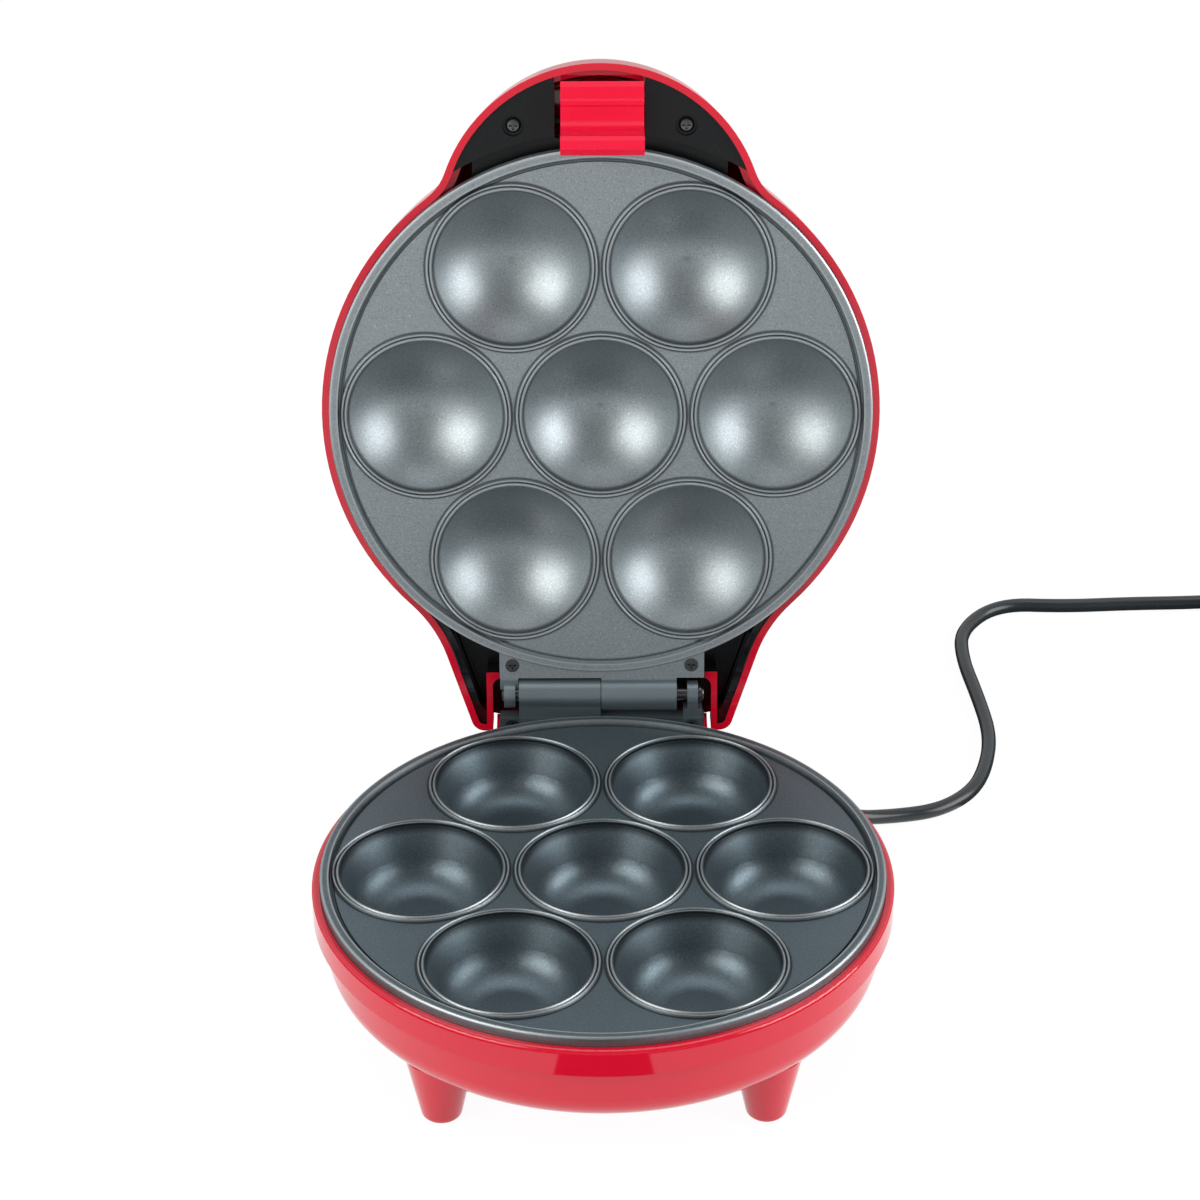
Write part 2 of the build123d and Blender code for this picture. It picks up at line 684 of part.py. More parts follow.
def make_lid_shell():
    band = lid_band()
    outside = lid_form(0, -BAND_DEPTH)
    mouth = lid_slab(5, BAND_STEP, -PLATE_THICK, 0)
    inside = lid_form(WALL, -PLATE_THICK)
    lobe_room = block((-70, 70), (INSERT_END - 4, 140), (-INSERT_DROP - INSERT_THICK, 0))
    lobe_mouth = lid_slab(5, BAND_STEP, -INSERT_DROP - INSERT_THICK, 0)
    lining_half = NOTCH_HALF + NOTCH_LINING
    lining_y = (-TAIL_END + 1, -NOTCH_TOP + NOTCH_LINING)
    lining = block((-lining_half, lining_half), lining_y, (-NOTCH_DEPTH, -LID_EDGE), 0.5)
    notch = block((-NOTCH_HALF, NOTCH_HALF), (-TAIL_END - 10, -NOTCH_TOP), (-NOTCH_DEPTH, 0), NOTCH_CORNER)
    tab_room = block((-TAB_HALF - TAB_FIT, TAB_HALF + TAB_FIT), (-NOTCH_TOP - 1, -90), (-TAB_THICK, 0))
    tab_boss = post(3.4, (-NOTCH_DEPTH, -TAB_THICK))
    tab_web = block((-2.5, 2.5), (-NOTCH_TOP - LID_TAB_SCREW_Y + 1, 0), (-NOTCH_DEPTH, -TAB_THICK))
    tab_pilot = post(TAB_SCREW_SHAFT + HOLE_FIT, (-NOTCH_DEPTH + 1, 0))
    handle_boss = post(HANDLE_BOSS_RADIUS, (LID_INNER + 0.5, -INSERT_DROP - INSERT_THICK))
    handle_pilot = post(TAB_SCREW_SHAFT + HOLE_FIT, (-HANDLE_PILOT_DEPTH, 0))
    liner_rib = block((-1.2, 1.2), (-4, 4), (LID_INNER - 1, -NOTCH_DEPTH - LINER_THICK))
    lens_hole = post(LENS_RADIUS + HOLE_FIT, (-LID_DEPTH - 3, LID_INNER + 3))
    holder_post = post(HOLDER_POST_RADIUS, (LID_INNER - 1.5, -HOLDER_DROP))
    rim_post = post(RIM_POST_RADIUS, (LID_INNER - 0.5, -SHIELD_DROP - SHEET - RIM_POST_GAP))
    post_x = HOLDER_HALF_WIDTH - 3
    post_y = HOLDER_HALF_HEIGHT - 3
    holder_corners = [(x, LENS_Y + y) for x in (-post_x, post_x) for y in (-post_y, post_y)]
    spring_post = block((-6, 6), (104, 122), (LID_INNER + 2, SPRING_FOOT - SPRING_THICK / 2))
    with BuildPart() as lobe_cut:
        add(lobe_mouth)
        add(lobe_room, mode=Mode.INTERSECT)
    with BuildPart() as lid_shell:
        add([band, outside])
        add(mouth, mode=Mode.SUBTRACT)
        add(inside, mode=Mode.SUBTRACT)
        add(lobe_cut.part, mode=Mode.SUBTRACT)
        add(lining)
        add(notch, mode=Mode.SUBTRACT)
        add(tab_room, mode=Mode.SUBTRACT)
        with Locations((TAB_SCREW_X, LID_TAB_SCREW_Y), (-TAB_SCREW_X, LID_TAB_SCREW_Y)):
            add([tab_boss, tab_web])
            add(tab_pilot, mode=Mode.SUBTRACT)
        with Locations(HANDLE_SCREW, (-HANDLE_SCREW[0], HANDLE_SCREW[1])):
            add(handle_boss)
            add(handle_pilot, mode=Mode.SUBTRACT)
        with Locations((-30, -106), (30, -106)):
            add(liner_rib)
        add(spring_post)
        with Locations(*LENS_PLACES):
            add(lens_hole, mode=Mode.SUBTRACT)
        with Locations(*holder_corners):
            add(holder_post)
        with Locations(*ring_of(SHIELD_BOSS_AT, 3, 270)):
            add(rim_post)
    write(lid_shell, "lid_shell", LID)


def make_hinge_liner():
    top = -NOTCH_DEPTH - HOLE_FIT
    slab = lid_slab(LID_ROUND + 5, BAND_STEP + WALL + LINER_FIT, -NOTCH_DEPTH - LINER_THICK, top)
    keep = block((-90, 90), (-TAIL_END, -TAB_START), (-NOTCH_DEPTH - 5, 0))
    with BuildPart() as hinge_liner:
        add(slab)
        add(keep, mode=Mode.INTERSECT)
    write(hinge_liner, "hinge_liner", LID)


# Handle insert, latch and its spring


def make_handle_insert():
    top = -INSERT_DROP
    face = lid_slab(5, BAND_STEP + HOLE_FIT, top - INSERT_THICK + HOLE_FIT, top)
    keep = block((-INSERT_HALF, INSERT_HALF), (INSERT_END, 140), (-30, 0), 2)
    step = turned(
        [
            (PLATE_RADIUS - 2, -PLATE_THICK - 3),
            (INSERT_STEP_RADIUS, -PLATE_THICK - 3),
            (INSERT_STEP_RADIUS, top - 1),
            (INSERT_STEP_RADIUS + 2, top - 1),
            (INSERT_STEP_RADIUS + 2, -PLATE_THICK - 5),
            (PLATE_RADIUS - 2, -PLATE_THICK - 5),
        ]
    )
    step_keep = block((-INSERT_STEP_HALF, INSERT_STEP_HALF), (INSERT_END + 1, 140), (-30, 0))
    plate_room = post(INSERT_STEP_RADIUS, (-6, 1))
    slot = block((-SLOT_HALF, SLOT_HALF), (SLOT_INNER, 131), (-30, 1), 1)
    rib_x = (SLOT_HALF, SLOT_HALF + 2.5)
    rib_y = (LATCH_PIVOT_Y - 4, LATCH_PIVOT_Y + 4)
    rib_z = (-LATCH_PIVOT_DROP - 4, top - 0.5)
    right_rib = block(rib_x, rib_y, rib_z)
    left_rib = block((-rib_x[1], -rib_x[0]), rib_y, rib_z)
    pin_bore = rod((-rib_x[1] - 1, rib_x[1] + 1), LATCH_PIVOT_Y, -LATCH_PIVOT_DROP, LATCH_PIN)
    screw_hole = post(TAB_SCREW_SHAFT + HOLE_FIT, (-10, 0))
    recess = post(4.0, (top - 1.2, 0))
    with BuildPart() as step_part:
        add(step)
        add(step_keep, mode=Mode.INTERSECT)
    with BuildPart() as handle_insert:
        add(face)
        add(keep, mode=Mode.INTERSECT)
        add(plate_room, mode=Mode.SUBTRACT)
        add(step_part.part)
        add(slot, mode=Mode.SUBTRACT)
        add(right_rib)
        add(left_rib)
        add(pin_bore, mode=Mode.SUBTRACT)
        with Locations(HANDLE_SCREW, (-HANDLE_SCREW[0], HANDLE_SCREW[1])):
            add([screw_hole, recess], mode=Mode.SUBTRACT)
    write(handle_insert, "handle_insert", LID)


def make_latch():
    grip = -(-FLANGE_DEPTH - PLATE_GAP) + HOOK_GRIP
    with BuildPart() as latch:
        with BuildSketch(Plane.YZ.offset(LATCH_SHIFT - LATCH_HALF)) as side:
            with BuildLine():
                Polyline(
                    (111.2, -2.4),
                    (122.8, -2.2),
                    (123.5, 0.4),
                    (121.8, 2.0),
                    (117.6, 2.3),
                    (117.0, 2.9),
                    (115.4, 3.0),
                    (114.8, 2.5),
                    (113.5, 2.6),
                )
                ThreePointArc((113.5, 2.6), (109.3, 4.4), (107.7, 8.6))
                Polyline(
                    (107.7, 8.6),
                    (107.7, grip + 3.6),
                    (106.4, grip + 5.0),
                    (103.2, grip + 5.0),
                    (HOOK_NOSE_Y, grip + 2.4),
                    (HOOK_NOSE_Y, grip),
                    (103.5, grip),
                    (103.5, -2.4),
                    (LATCH_PIVOT_Y - LATCH_BARREL, -LATCH_PIVOT_DROP),
                    (LATCH_PIVOT_Y + LATCH_BARREL, -LATCH_PIVOT_DROP),
                    (111.2, -2.4),
                )
            make_face()
            with Locations((LATCH_PIVOT_Y, -LATCH_PIVOT_DROP)):
                Circle(LATCH_BARREL)
                Circle(LATCH_PIN + RUNNING_FIT, mode=Mode.SUBTRACT)
        extrude(amount=2 * LATCH_HALF)
    write(latch, "latch", LID)


def make_latch_pin():
    end = SLOT_HALF + 2.5
    with BuildPart() as latch_pin:
        add(rod((-end, end), LATCH_PIVOT_Y, -LATCH_PIVOT_DROP, LATCH_PIN))
    write(latch_pin, "latch_pin", LID)


def make_latch_spring():
    """A leaf spring on its post in the lobe; its tip meets the latch as the pad goes down."""
    foot = SPRING_FOOT
    with BuildPart() as latch_spring:
        with BuildSketch(Plane.YZ.offset(-SPRING_HALF)):
            with BuildLine():
                FilletPolyline((106, foot), (119, foot), (113, -9.5), (120.5, -5.4), radius=2.2)
            trace(line_width=SPRING_THICK)
        extrude(amount=2 * SPRING_HALF)
    write(latch_spring, "latch_spring", LID)


# Screws


def screws(name, piece, places, frame):
    """Write a node of like screws, one at each place."""
    with BuildPart() as group:
        with Locations(*places):
            add(piece)
    write(group, name, frame)


def make_screws():
    sunk = screw(TAB_SCREW_HEAD, TAB_SCREW_SHAFT, TAB_SCREW_LENGTH)
    tab_top = -BASE_TAB_DROP
    base_places = [(TAB_SCREW_X, BASE_TAB_SCREW_Y, tab_top), (-TAB_SCREW_X, BASE_TAB_SCREW_Y, tab_top)]
    screws("base_plate_screws", sunk, base_places, BASE)
    lid_places = [(TAB_SCREW_X, LID_TAB_SCREW_Y, 0), (-TAB_SCREW_X, LID_TAB_SCREW_Y, 0)]
    screws("lid_plate_screws", sunk, lid_places, LID)
    raised = screw(RAISED_HEAD, TAB_SCREW_SHAFT, INSERT_SCREW_LENGTH, sunk=False)
    seat = -INSERT_DROP - 1.2
    handle_places = [(HANDLE_SCREW[0], HANDLE_SCREW[1], seat), (-HANDLE_SCREW[0], HANDLE_SCREW[1], seat)]
    screws("handle_screws", raised, handle_places, LID)


# Inside each half


def make_element(name, frame, turn):
    """A tubular heating element: most of a ring, with two cold ends that point away from the plate."""
    arc = 320
    bend = ELEMENT_TUBE + 1.5
    last = radians(arc)
    top = Vector(0, 0, -ELEMENT_DROP)
    down = Vector(0, 0, -bend)
    first_point = Vector(ELEMENT_RADIUS, 0, 0) + top
    last_point = Vector(ELEMENT_RADIUS * cos(last), ELEMENT_RADIUS * sin(last), 0) + top
    last_way = Vector(-sin(last), cos(last), 0)
    first_knee = first_point - Vector(0, bend, 0) + down
    last_knee = last_point + last_way * bend + down
    with BuildPart() as tube:
        with BuildLine():
            Line(first_knee + down, first_knee)
            TangentArc(first_knee, first_point, tangent=(0, 0, 1))
            CenterArc(top, ELEMENT_RADIUS, 0, arc)
            TangentArc(last_point, last_knee, tangent=last_way)
            Line(last_knee, last_knee + down)
        with BuildSketch(Plane(first_knee + down, z_dir=(0, 0, 1))):
            Circle(ELEMENT_TUBE)
        sweep()
    pin = post(1.2, (first_knee.Z - bend - 4, first_knee.Z - bend + 1))
    with BuildPart() as ring:
        add(tube.part)
        with Locations((first_knee.X, first_knee.Y), (last_knee.X, last_knee.Y)):
            add(pin)
    with BuildPart() as element:
        add(ring.part, rotation=(0, 0, turn))
    write(element, name, frame)


def make_clamps(half, frame, start):
    """Three flat clamps that hold the element up to its seats, and their screws."""
    face = -ELEMENT_DROP - ELEMENT_TUBE
    strip = block((28.4, CLAMP_BOSS_AT + BOSS_RADIUS), (-3.5, 3.5), (face - 1.2, face), 1.5)
    hole = post(CLAMP_SCREW_SHAFT + HOLE_FIT, (face - 2, face + 1))
    raised = screw(CLAMP_HEAD, CLAMP_SCREW_SHAFT, CLAMP_SCREW_LENGTH, sunk=False)
    places = ring_of(CLAMP_BOSS_AT, 3, start)
    with BuildPart() as clamps:
        with PolarLocations(0, 3, start_angle=start):
            add(strip)
        with Locations(*places):
            add(hole, mode=Mode.SUBTRACT)
    write(clamps, half + "_element_clamps", frame)
    with BuildPart() as clamp_screws:
        with Locations(*[Location((x, y, face - 1.2), (180, 0, 0)) for x, y in places]):
            add(raised)
    write(clamp_screws, half + "_clamp_screws", frame)


def make_shield(half, frame, start):
    """A pressed sheet dish between the element and the shell, and the screws that hold it."""
    low = -SHIELD_DROP
    outline = [
        (0, low),
        (SHIELD_RADIUS - 5, low),
        (SHIELD_RADIUS, low + 5),
        (SHIELD_RADIUS + 1, low + 5 - SHEET / 2),
        (SHIELD_RADIUS - 4.6, low - SHEET),
        (0, low - SHEET),
    ]
    dish = turned(outline)
    hole = post(SHIELD_SCREW_SHAFT + HOLE_FIT, (low - 2, low + 1))
    raised = screw(RAISED_HEAD, SHIELD_SCREW_SHAFT, SHIELD_SCREW_LENGTH, sunk=False)
    places = ring_of(SHIELD_BOSS_AT, 3, start)
    with BuildPart() as shield:
        add(dish)
        with Locations(*places):
            add(hole, mode=Mode.SUBTRACT)
    write(shield, half + "_heat_shield", frame)
    with BuildPart() as shield_screws:
        with Locations(*[Location((x, y, low - SHEET), (180, 0, 0)) for x, y in places]):
            add(raised)
    write(shield_screws, half + "_shield_screws", frame)


def make_thermostat():
    """A snap-disc thermostat under the plate, with its two blades."""
    low = -PLATE_THICK - 10
    body = turned(
        [
            (0, low),
            (THERMOSTAT_RADIUS, low),
            (THERMOSTAT_RADIUS, -PLATE_THICK - 2),
            (THERMOSTAT_RADIUS - 1.5, -PLATE_THICK),
            (0, -PLATE_THICK),
        ]
    )
    blade = block((-0.4, 0.4), (-3, 3), (low - 7, low + 1))
    x, y = ring_of(THERMOSTAT_AT, 1, 30)[0]
    with BuildPart() as thermostat:
        with Locations((x, y)):
            add(body)
        with Locations((x - 5, y), (x + 5, y)):
            add(blade)
    write(thermostat, "thermostat", BASE)


def make_thermal_fuse():
    """A tubular thermal fuse in its spring clip under the plate."""
    clip = block((-2.6, 2.6), (-3, 3), (-PLATE_THICK - 4.6, -PLATE_THICK))
    with BuildPart() as capsule:
        with BuildSketch(Plane.YZ.offset(-6)):
            with Locations((0, -PLATE_THICK - 2.3)):
                Circle(FUSE_RADIUS)
        extrude(amount=12)
        with BuildSketch(Plane.YZ.offset(-12)):
            with Locations((0, -PLATE_THICK - 2.3)):
                Circle(0.5)
        extrude(amount=24)
    with BuildPart() as thermal_fuse:
        with Locations(*ring_of(THERMOSTAT_AT, 1, 150)):
            add([capsule.part, clip])
    write(thermal_fuse, "thermal_fuse", BASE)


def make_terminal_block():
    """A three-way terminal block on the floor of the hinge housing."""
    width = (BLOCK_X[1] - BLOCK_X[0]) / 3
    body = block(BLOCK_X, BLOCK_Y, (INNER_FLOOR, INNER_FLOOR + BLOCK_HEIGHT))
    way = post(2.4, (INNER_FLOOR + 7, INNER_FLOOR + 12))
    with BuildPart() as terminal_block:
        add(body)
        with Locations(*[(BLOCK_X[0] + width * (n + 0.5), CORD_EXIT_Y) for n in range(3)]):
            add(way, mode=Mode.SUBTRACT)
    write(terminal_block, "terminal_block", BASE)


def make_cord_entry():
    """The cord's clamp, the bush in the housing wall and the lead inside it."""
    bar_low = CORD_Z - CORD_RADIUS
    bar = block(CLAMP_X, (CORD_EXIT_Y - CLAMP_REACH, CORD_EXIT_Y + CLAMP_REACH), (bar_low, CORD_Z + 5), 1)
    lead = rod((BLOCK_X[1], HOUSING_HALF - WALL - BUSH_COLLAR_THICK), CORD_EXIT_Y, CORD_Z, CORD_RADIUS)
    saddle = rod((CLAMP_X[0] - 1, CLAMP_X[1] + 1), CORD_EXIT_Y, CORD_Z, CORD_RADIUS)
    under_y = (CORD_EXIT_Y - 3, CORD_EXIT_Y + 3)
    under = block((CLAMP_X[0] - 1, CLAMP_X[1] + 1), under_y, (bar_low - 1, CORD_Z))
    with BuildPart() as cord_clamp:
        add(bar)
        add([saddle, under], mode=Mode.SUBTRACT)
    write(cord_clamp, "cord_clamp", BASE)
    with BuildPart() as inner_lead:
        add(lead)
    write(inner_lead, "inner_lead", BASE)
    inner = -WALL
    rib = (BUSH_LENGTH - BUSH_COLLAR_THICK - 2) / BUSH_RIBS
    grooves = []
    for n in range(BUSH_RIBS):
        start = BUSH_COLLAR_THICK + 2 + rib * n
        middle = start + rib / 2
        radius = BUSH_ROOT - 0.45 * n
        grooves += [(radius, start), (radius - 0.1, middle)]
        grooves += [(radius - 0.8, middle), (radius - 0.9, start + rib)]
    outline = [
        (0, inner - BUSH_COLLAR_THICK),
        (BUSH_COLLAR, inner - BUSH_COLLAR_THICK),
        (BUSH_COLLAR, inner),
        (BUSH_NECK - HOLE_FIT, inner),
        (BUSH_NECK - HOLE_FIT, 0),
        (BUSH_COLLAR, 0),
        (BUSH_COLLAR, BUSH_COLLAR_THICK),
        (BUSH_ROOT, BUSH_COLLAR_THICK),
    ]
    bush = turned(outline + grooves[:-1] + [(grooves[-1][0], BUSH_LENGTH), (0, BUSH_LENGTH)])
    with BuildPart() as cord_bush:
        with Locations(Location((HOUSING_HALF, CORD_EXIT_Y, CORD_Z), (0, 90, 0))):
            add(bush)
    write(cord_bush, "cord_bush", BASE)


def make_lamps():
    """Two neon lamps in their holder, under the two lenses in the lid's top."""
    lens = turned(
        [
            (0, -LID_DEPTH - 1.6),
            (2.4, -LID_DEPTH - 1.2),
            (LENS_RADIUS, -LID_DEPTH + 0.4),
            (LENS_RADIUS, LID_INNER + 1.0),
            (LENS_RADIUS + LENS_LIP, LID_INNER + 1.0),
            (LENS_RADIUS + LENS_LIP, LID_INNER + 1.9),
            (0, LID_INNER + 1.9),
        ]
    )
    for name, place in (("power_lens", LENS_PLACES[0]), ("ready_lens", LENS_PLACES[1])):
        with BuildPart() as piece:
            with Locations(place):
                add(lens)
        write(piece, name, LID)
    plate = block(
        (-HOLDER_HALF_WIDTH, HOLDER_HALF_WIDTH),
        (LENS_Y - HOLDER_HALF_HEIGHT, LENS_Y + HOLDER_HALF_HEIGHT),
        (-HOLDER_DROP, -HOLDER_DROP + HOLDER_THICK),
        2,
    )
    lamp_hole = post(LAMP_RADIUS + HOLE_FIT, (-HOLDER_DROP - 1, -HOLDER_DROP + 5))
    lamp_seat = post(LAMP_BASE_RADIUS + HOLE_FIT, (-HOLDER_DROP, -HOLDER_DROP + 5))
    with BuildPart() as lamp_holder:
        add(plate)
        with Locations(*LENS_PLACES):
            add([lamp_hole, lamp_seat], mode=Mode.SUBTRACT)
    write(lamp_holder, "lamp_holder", LID)


def make_neon_lamps():
    """Two neon lamps, upright in the holder, each under its lens."""
    low = -HOLDER_DROP
    lamp = turned(
        [
            (0, low - 1.8),
            (LAMP_RADIUS, low - 1.2),
            (LAMP_RADIUS, low),
            (LAMP_BASE_RADIUS, low),
            (LAMP_BASE_RADIUS, low + HOLDER_THICK + 1.4),
            (0, low + HOLDER_THICK + 1.4),
        ]
    )
    with BuildPart() as neon_lamps:
        with Locations(*LENS_PLACES):
            add(lamp)
    write(neon_lamps, "neon_lamps", LID)


# Hinge pin


def make_hinge_pin():
    end = BASE_EAR[1] + 2.2
    start = LID_EAR[0] - 0.8
    with BuildPart() as hinge_pin:
        add(rod((start, end), HINGE_Y, BASE_HINGE_Z, PIN_RADIUS))
        chamfer(hinge_pin.edges().filter_by(GeomType.CIRCLE), length=0.4)
    write(hinge_pin, "hinge_pin", BASE)
    clip_low = BASE_EAR[1] + 0.4
    with BuildPart() as pin_clip:
        with BuildSketch(Plane.YZ.offset(clip_low)):
            with Locations((HINGE_Y, BASE_HINGE_Z)):
                Circle(PIN_RADIUS + 0.9)
                Circle(PIN_RADIUS, mode=Mode.SUBTRACT)
        extrude(amount=0.8)
    write(pin_clip, "pin_clip", BASE)


# Cord, coil and plug, placed from the bowl's axis and the floor


def route_radii(route):
    """Return the arc radius at each corner of a route, as large as its two runs allow."""
    points = [Vector(*point) for point in route]
    radii = []
    for before, corner, after in zip(points, points[1:], points[2:]):
        first = corner - before
        second = after - corner
        half_turn = radians(first.get_angle(second)) / 2
        radii.append(0.45 * min(first.length, second.length) * cos(half_turn) / sin(half_turn))
    return radii


def make_power_cord():
    radii = route_radii(CORD_ROUTE)
    with BuildPart() as power_cord:
        with BuildLine():
            line = FilletPolyline(CORD_ROUTE, radius=radii)
        with BuildSketch(Plane(line @ 0, z_dir=line % 0)):
            Circle(CORD_RADIUS)
        sweep()
    length = line.length
    section = pi * CORD_RADIUS**2
    print("cord arc radii", [round(radius, 1) for radius in radii])
    print("cord length", round(length, 1))
    print("cord volume", round(power_cord.part.volume), "of", round(section * length))
    write(power_cord, "power_cord", FLOOR)
    return length


def coil_point(turn):
    """Return the coil's centre line: in along the floor layer, then out along the upper one."""
    radius = COIL_INNER + COIL_PITCH * abs(turn - COIL_MIDDLE)
    climb = min(max((turn - COIL_MIDDLE) / CLIMB_TURNS + 0.5, 0), 1)
    angle = radians(90 - 360 * turn)
    x, y = COIL_CENTRE
    height = COIL_FLOOR + COIL_PITCH * climb * climb * (3 - 2 * climb)
    return Vector(x + radius * cos(angle), y + radius * sin(angle), height)


def coil_direction(turn):
    """Return the unit direction of the coil's centre line."""
    step = 0.02
    return (coil_point(turn + step) - coil_point(turn - step)).normalized()


def biarc_joint(start, start_way, end, end_way):
    """Return where two tangent arcs between two directed points meet, and their direction there."""
    across = end - start
    ways = start_way + end_way
    a = ways.dot(ways) - 4
    b = -2 * across.dot(ways)
    c = across.dot(across)
    reach = (-b - sqrt(b * b - 4 * a * c)) / (2 * a)
    from_start = start + start_way * reach
    from_end = end - end_way * reach
    return (from_start + from_end) * 0.5, (from_end - from_start).normalized()


def coil_knots():
    """Return the directed points of the coil, one each quarter turn."""
    quarters = int(4 * COIL_TURNS)
    knots = [(coil_point(n / 4), coil_direction(n / 4)) for n in range(quarters + 1)]
    knots[0] = (knots[0][0], Vector(1, 0, 0))
    knots[-1] = (knots[-1][0], Vector(0, -1, 0))
    return knots


def least_gap(points, apart):
    """Return the least free distance between stretches of the tube further apart along it than given."""
    best = 1e9
    for i, point in enumerate(points):
        for other in points[i + apart :]:
            best = min(best, (point - other).length)
    return best - 2 * CORD_RADIUS


def make_cord_coil():
    knots = coil_knots()
    with BuildPart() as cord_coil:
        with BuildLine() as path:
            Line(knots[0][0] - Vector(COIL_LEAD, 0, 0), knots[0][0])
            for (start, start_way), (end, end_way) in zip(knots, knots[1:]):
                joint, joint_way = biarc_joint(start, start_way, end, end_way)
                TangentArc(start, joint, tangent=start_way)
                TangentArc(joint, end, tangent=joint_way)
            Line(knots[-1][0], knots[-1][0] - Vector(0, COIL_TAIL, 0))
        with BuildSketch(Plane(path.wires()[0] @ 0, z_dir=(1, 0, 0))):
            Circle(CORD_RADIUS)
        sweep()
    wire = path.wires()[0]
    samples = [wire @ (n / 400) for n in range(401)]
    print("coil length", round(wire.length, 1), "least gap", round(least_gap(samples, 60), 2))
    write(cord_coil, "cord_coil", FLOOR)
    return wire.length


def make_cord_tie():
    """A band round all the coil's turns, across them at the side nearest the object."""
    inner = COIL_INNER - CORD_RADIUS - TIE_GAP
    outer = COIL_INNER + COIL_PITCH * (COIL_TURNS - COIL_MIDDLE) + CORD_RADIUS + TIE_GAP
    low = CORD_LIE + TIE_THICK
    high = COIL_FLOOR + COIL_PITCH + CORD_RADIUS + TIE_GAP
    middle = ((inner + outer) / 2, (low + high) / 2)
    with BuildPart() as band:
        with BuildSketch(Plane.XZ.offset(-3)):
            with Locations(middle):
                RectangleRounded(outer - inner + 2 * TIE_THICK, high - low + 2 * TIE_THICK, 3.2)
                RectangleRounded(outer - inner, high - low, 2.5, mode=Mode.SUBTRACT)
        extrude(amount=6)
    with BuildPart() as cord_tie:
        with Locations(Location((COIL_CENTRE[0], COIL_CENTRE[1], 0), (0, 0, 225))):
            add(band.part)
    write(cord_tie, "cord_tie", FLOOR)


def make_plug():
    """A flat two-pin plug, lying beside the coil."""
    end = coil_knots()[-1][0] - Vector(0, COIL_TAIL, 0)
    half_thick = end.Z - CORD_LIE
    across = Plane((end.X, end.Y, end.Z), x_dir=(1, 0, 0), z_dir=(0, -1, 0))
    shoulder = PLUG_BOOT + 0.4 * PLUG_LENGTH
    with BuildPart() as plug_body:
        with BuildSketch(across):
            Circle(CORD_RADIUS + 1.2)
        with BuildSketch(across.offset(PLUG_BOOT)):
            Circle(CORD_RADIUS + 2.4)
        loft()
        with BuildSketch(across.offset(PLUG_BOOT - 1)):
            RectangleRounded(PLUG_WIDTH * 0.6, 2 * half_thick * 0.75, 6)
        with BuildSketch(across.offset(shoulder)):
            RectangleRounded(PLUG_WIDTH, 2 * half_thick, 6)
        loft()
        with BuildSketch(across.offset(shoulder)):
            RectangleRounded(PLUG_WIDTH, 2 * half_thick, 6)
        extrude(amount=0.6 * PLUG_LENGTH)
    write(plug_body, "plug_body", FLOOR)
    with BuildPart() as plug_pins:
        with BuildSketch(across.offset(PLUG_BOOT + PLUG_LENGTH)):
            with Locations((-PLUG_PIN_PITCH / 2, 0), (PLUG_PIN_PITCH / 2, 0)):
                Circle(PLUG_PIN_RADIUS)
        extrude(amount=PLUG_PIN_LENGTH)
        fillet(plug_pins.edges().group_by(Axis.Y)[0], radius=1.6)
    write(plug_pins, "plug_pins", FLOOR)


make_base_plate()
make_lid_plate()
make_base_shell()
make_foot_pads()
make_lid_shell()
make_hinge_liner()
make_handle_insert()
make_latch()
make_latch_pin()
make_latch_spring()
make_screws()
make_element("base_element", BASE, 50)
make_element("lid_element", LID, 230)
make_clamps("base", BASE, 90)
make_clamps("lid", LID, 270)
make_shield("base", BASE, 90)
make_shield("lid", LID, 270)
make_thermostat()
make_thermal_fuse()
make_terminal_block()
make_cord_entry()
make_lamps()
make_neon_lamps()
make_hinge_pin()
total = make_power_cord() + make_cord_coil()
print("cord length in all", round(total, 1))
make_cord_tie()
make_plug()
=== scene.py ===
"""Cupcake maker, open on its hinge: camera, light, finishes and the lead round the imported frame."""

import json
from math import cos, pi, radians, sin

import bpy
from mathutils import Matrix, Vector


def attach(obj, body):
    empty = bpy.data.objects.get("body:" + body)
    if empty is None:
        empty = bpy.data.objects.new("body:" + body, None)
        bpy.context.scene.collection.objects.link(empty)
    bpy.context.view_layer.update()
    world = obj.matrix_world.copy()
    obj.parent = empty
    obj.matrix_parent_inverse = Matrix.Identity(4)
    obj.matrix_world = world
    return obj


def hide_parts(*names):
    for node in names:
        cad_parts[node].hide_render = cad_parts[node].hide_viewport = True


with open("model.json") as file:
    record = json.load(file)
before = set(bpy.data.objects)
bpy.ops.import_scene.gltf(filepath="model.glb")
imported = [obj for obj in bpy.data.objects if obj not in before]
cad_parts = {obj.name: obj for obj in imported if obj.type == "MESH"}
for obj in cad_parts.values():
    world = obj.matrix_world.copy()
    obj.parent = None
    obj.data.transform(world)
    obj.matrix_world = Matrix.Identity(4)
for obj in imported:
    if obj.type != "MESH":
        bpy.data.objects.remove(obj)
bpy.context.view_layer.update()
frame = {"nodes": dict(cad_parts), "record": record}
nodes = frame["nodes"]

# Places that the CAD source gives, in metres: the middle of each plate's face, and the way along it
# that lies in the appliance's middle plane, toward the hinge on the base and away from it on the lid

MM = 0.001
BOWL_AXIS_Y = -40.111 * MM
BASE_MIDDLE = Vector((0, BOWL_AXIS_Y, 60.7 * MM))
BASE_ALONG = Vector((0, 1, 0))
LID_LEAN = radians(11.42)
LID_MIDDLE = Vector((0, 89.213, 173.213)) * MM
LID_ALONG = Vector((0, sin(LID_LEAN), cos(LID_LEAN)))

# Camera: its place in metres, its turns in radians, and its lens and sensor in millimetres

CAMERA_AT = Vector((-1.55, -1125.58, 808.57)) * MM
CAMERA_YAW = 0.0008
CAMERA_PITCH = 0.5312
CAMERA_TIP = -0.0038
CAMERA_LENS = 112.26
SENSOR = 36.0


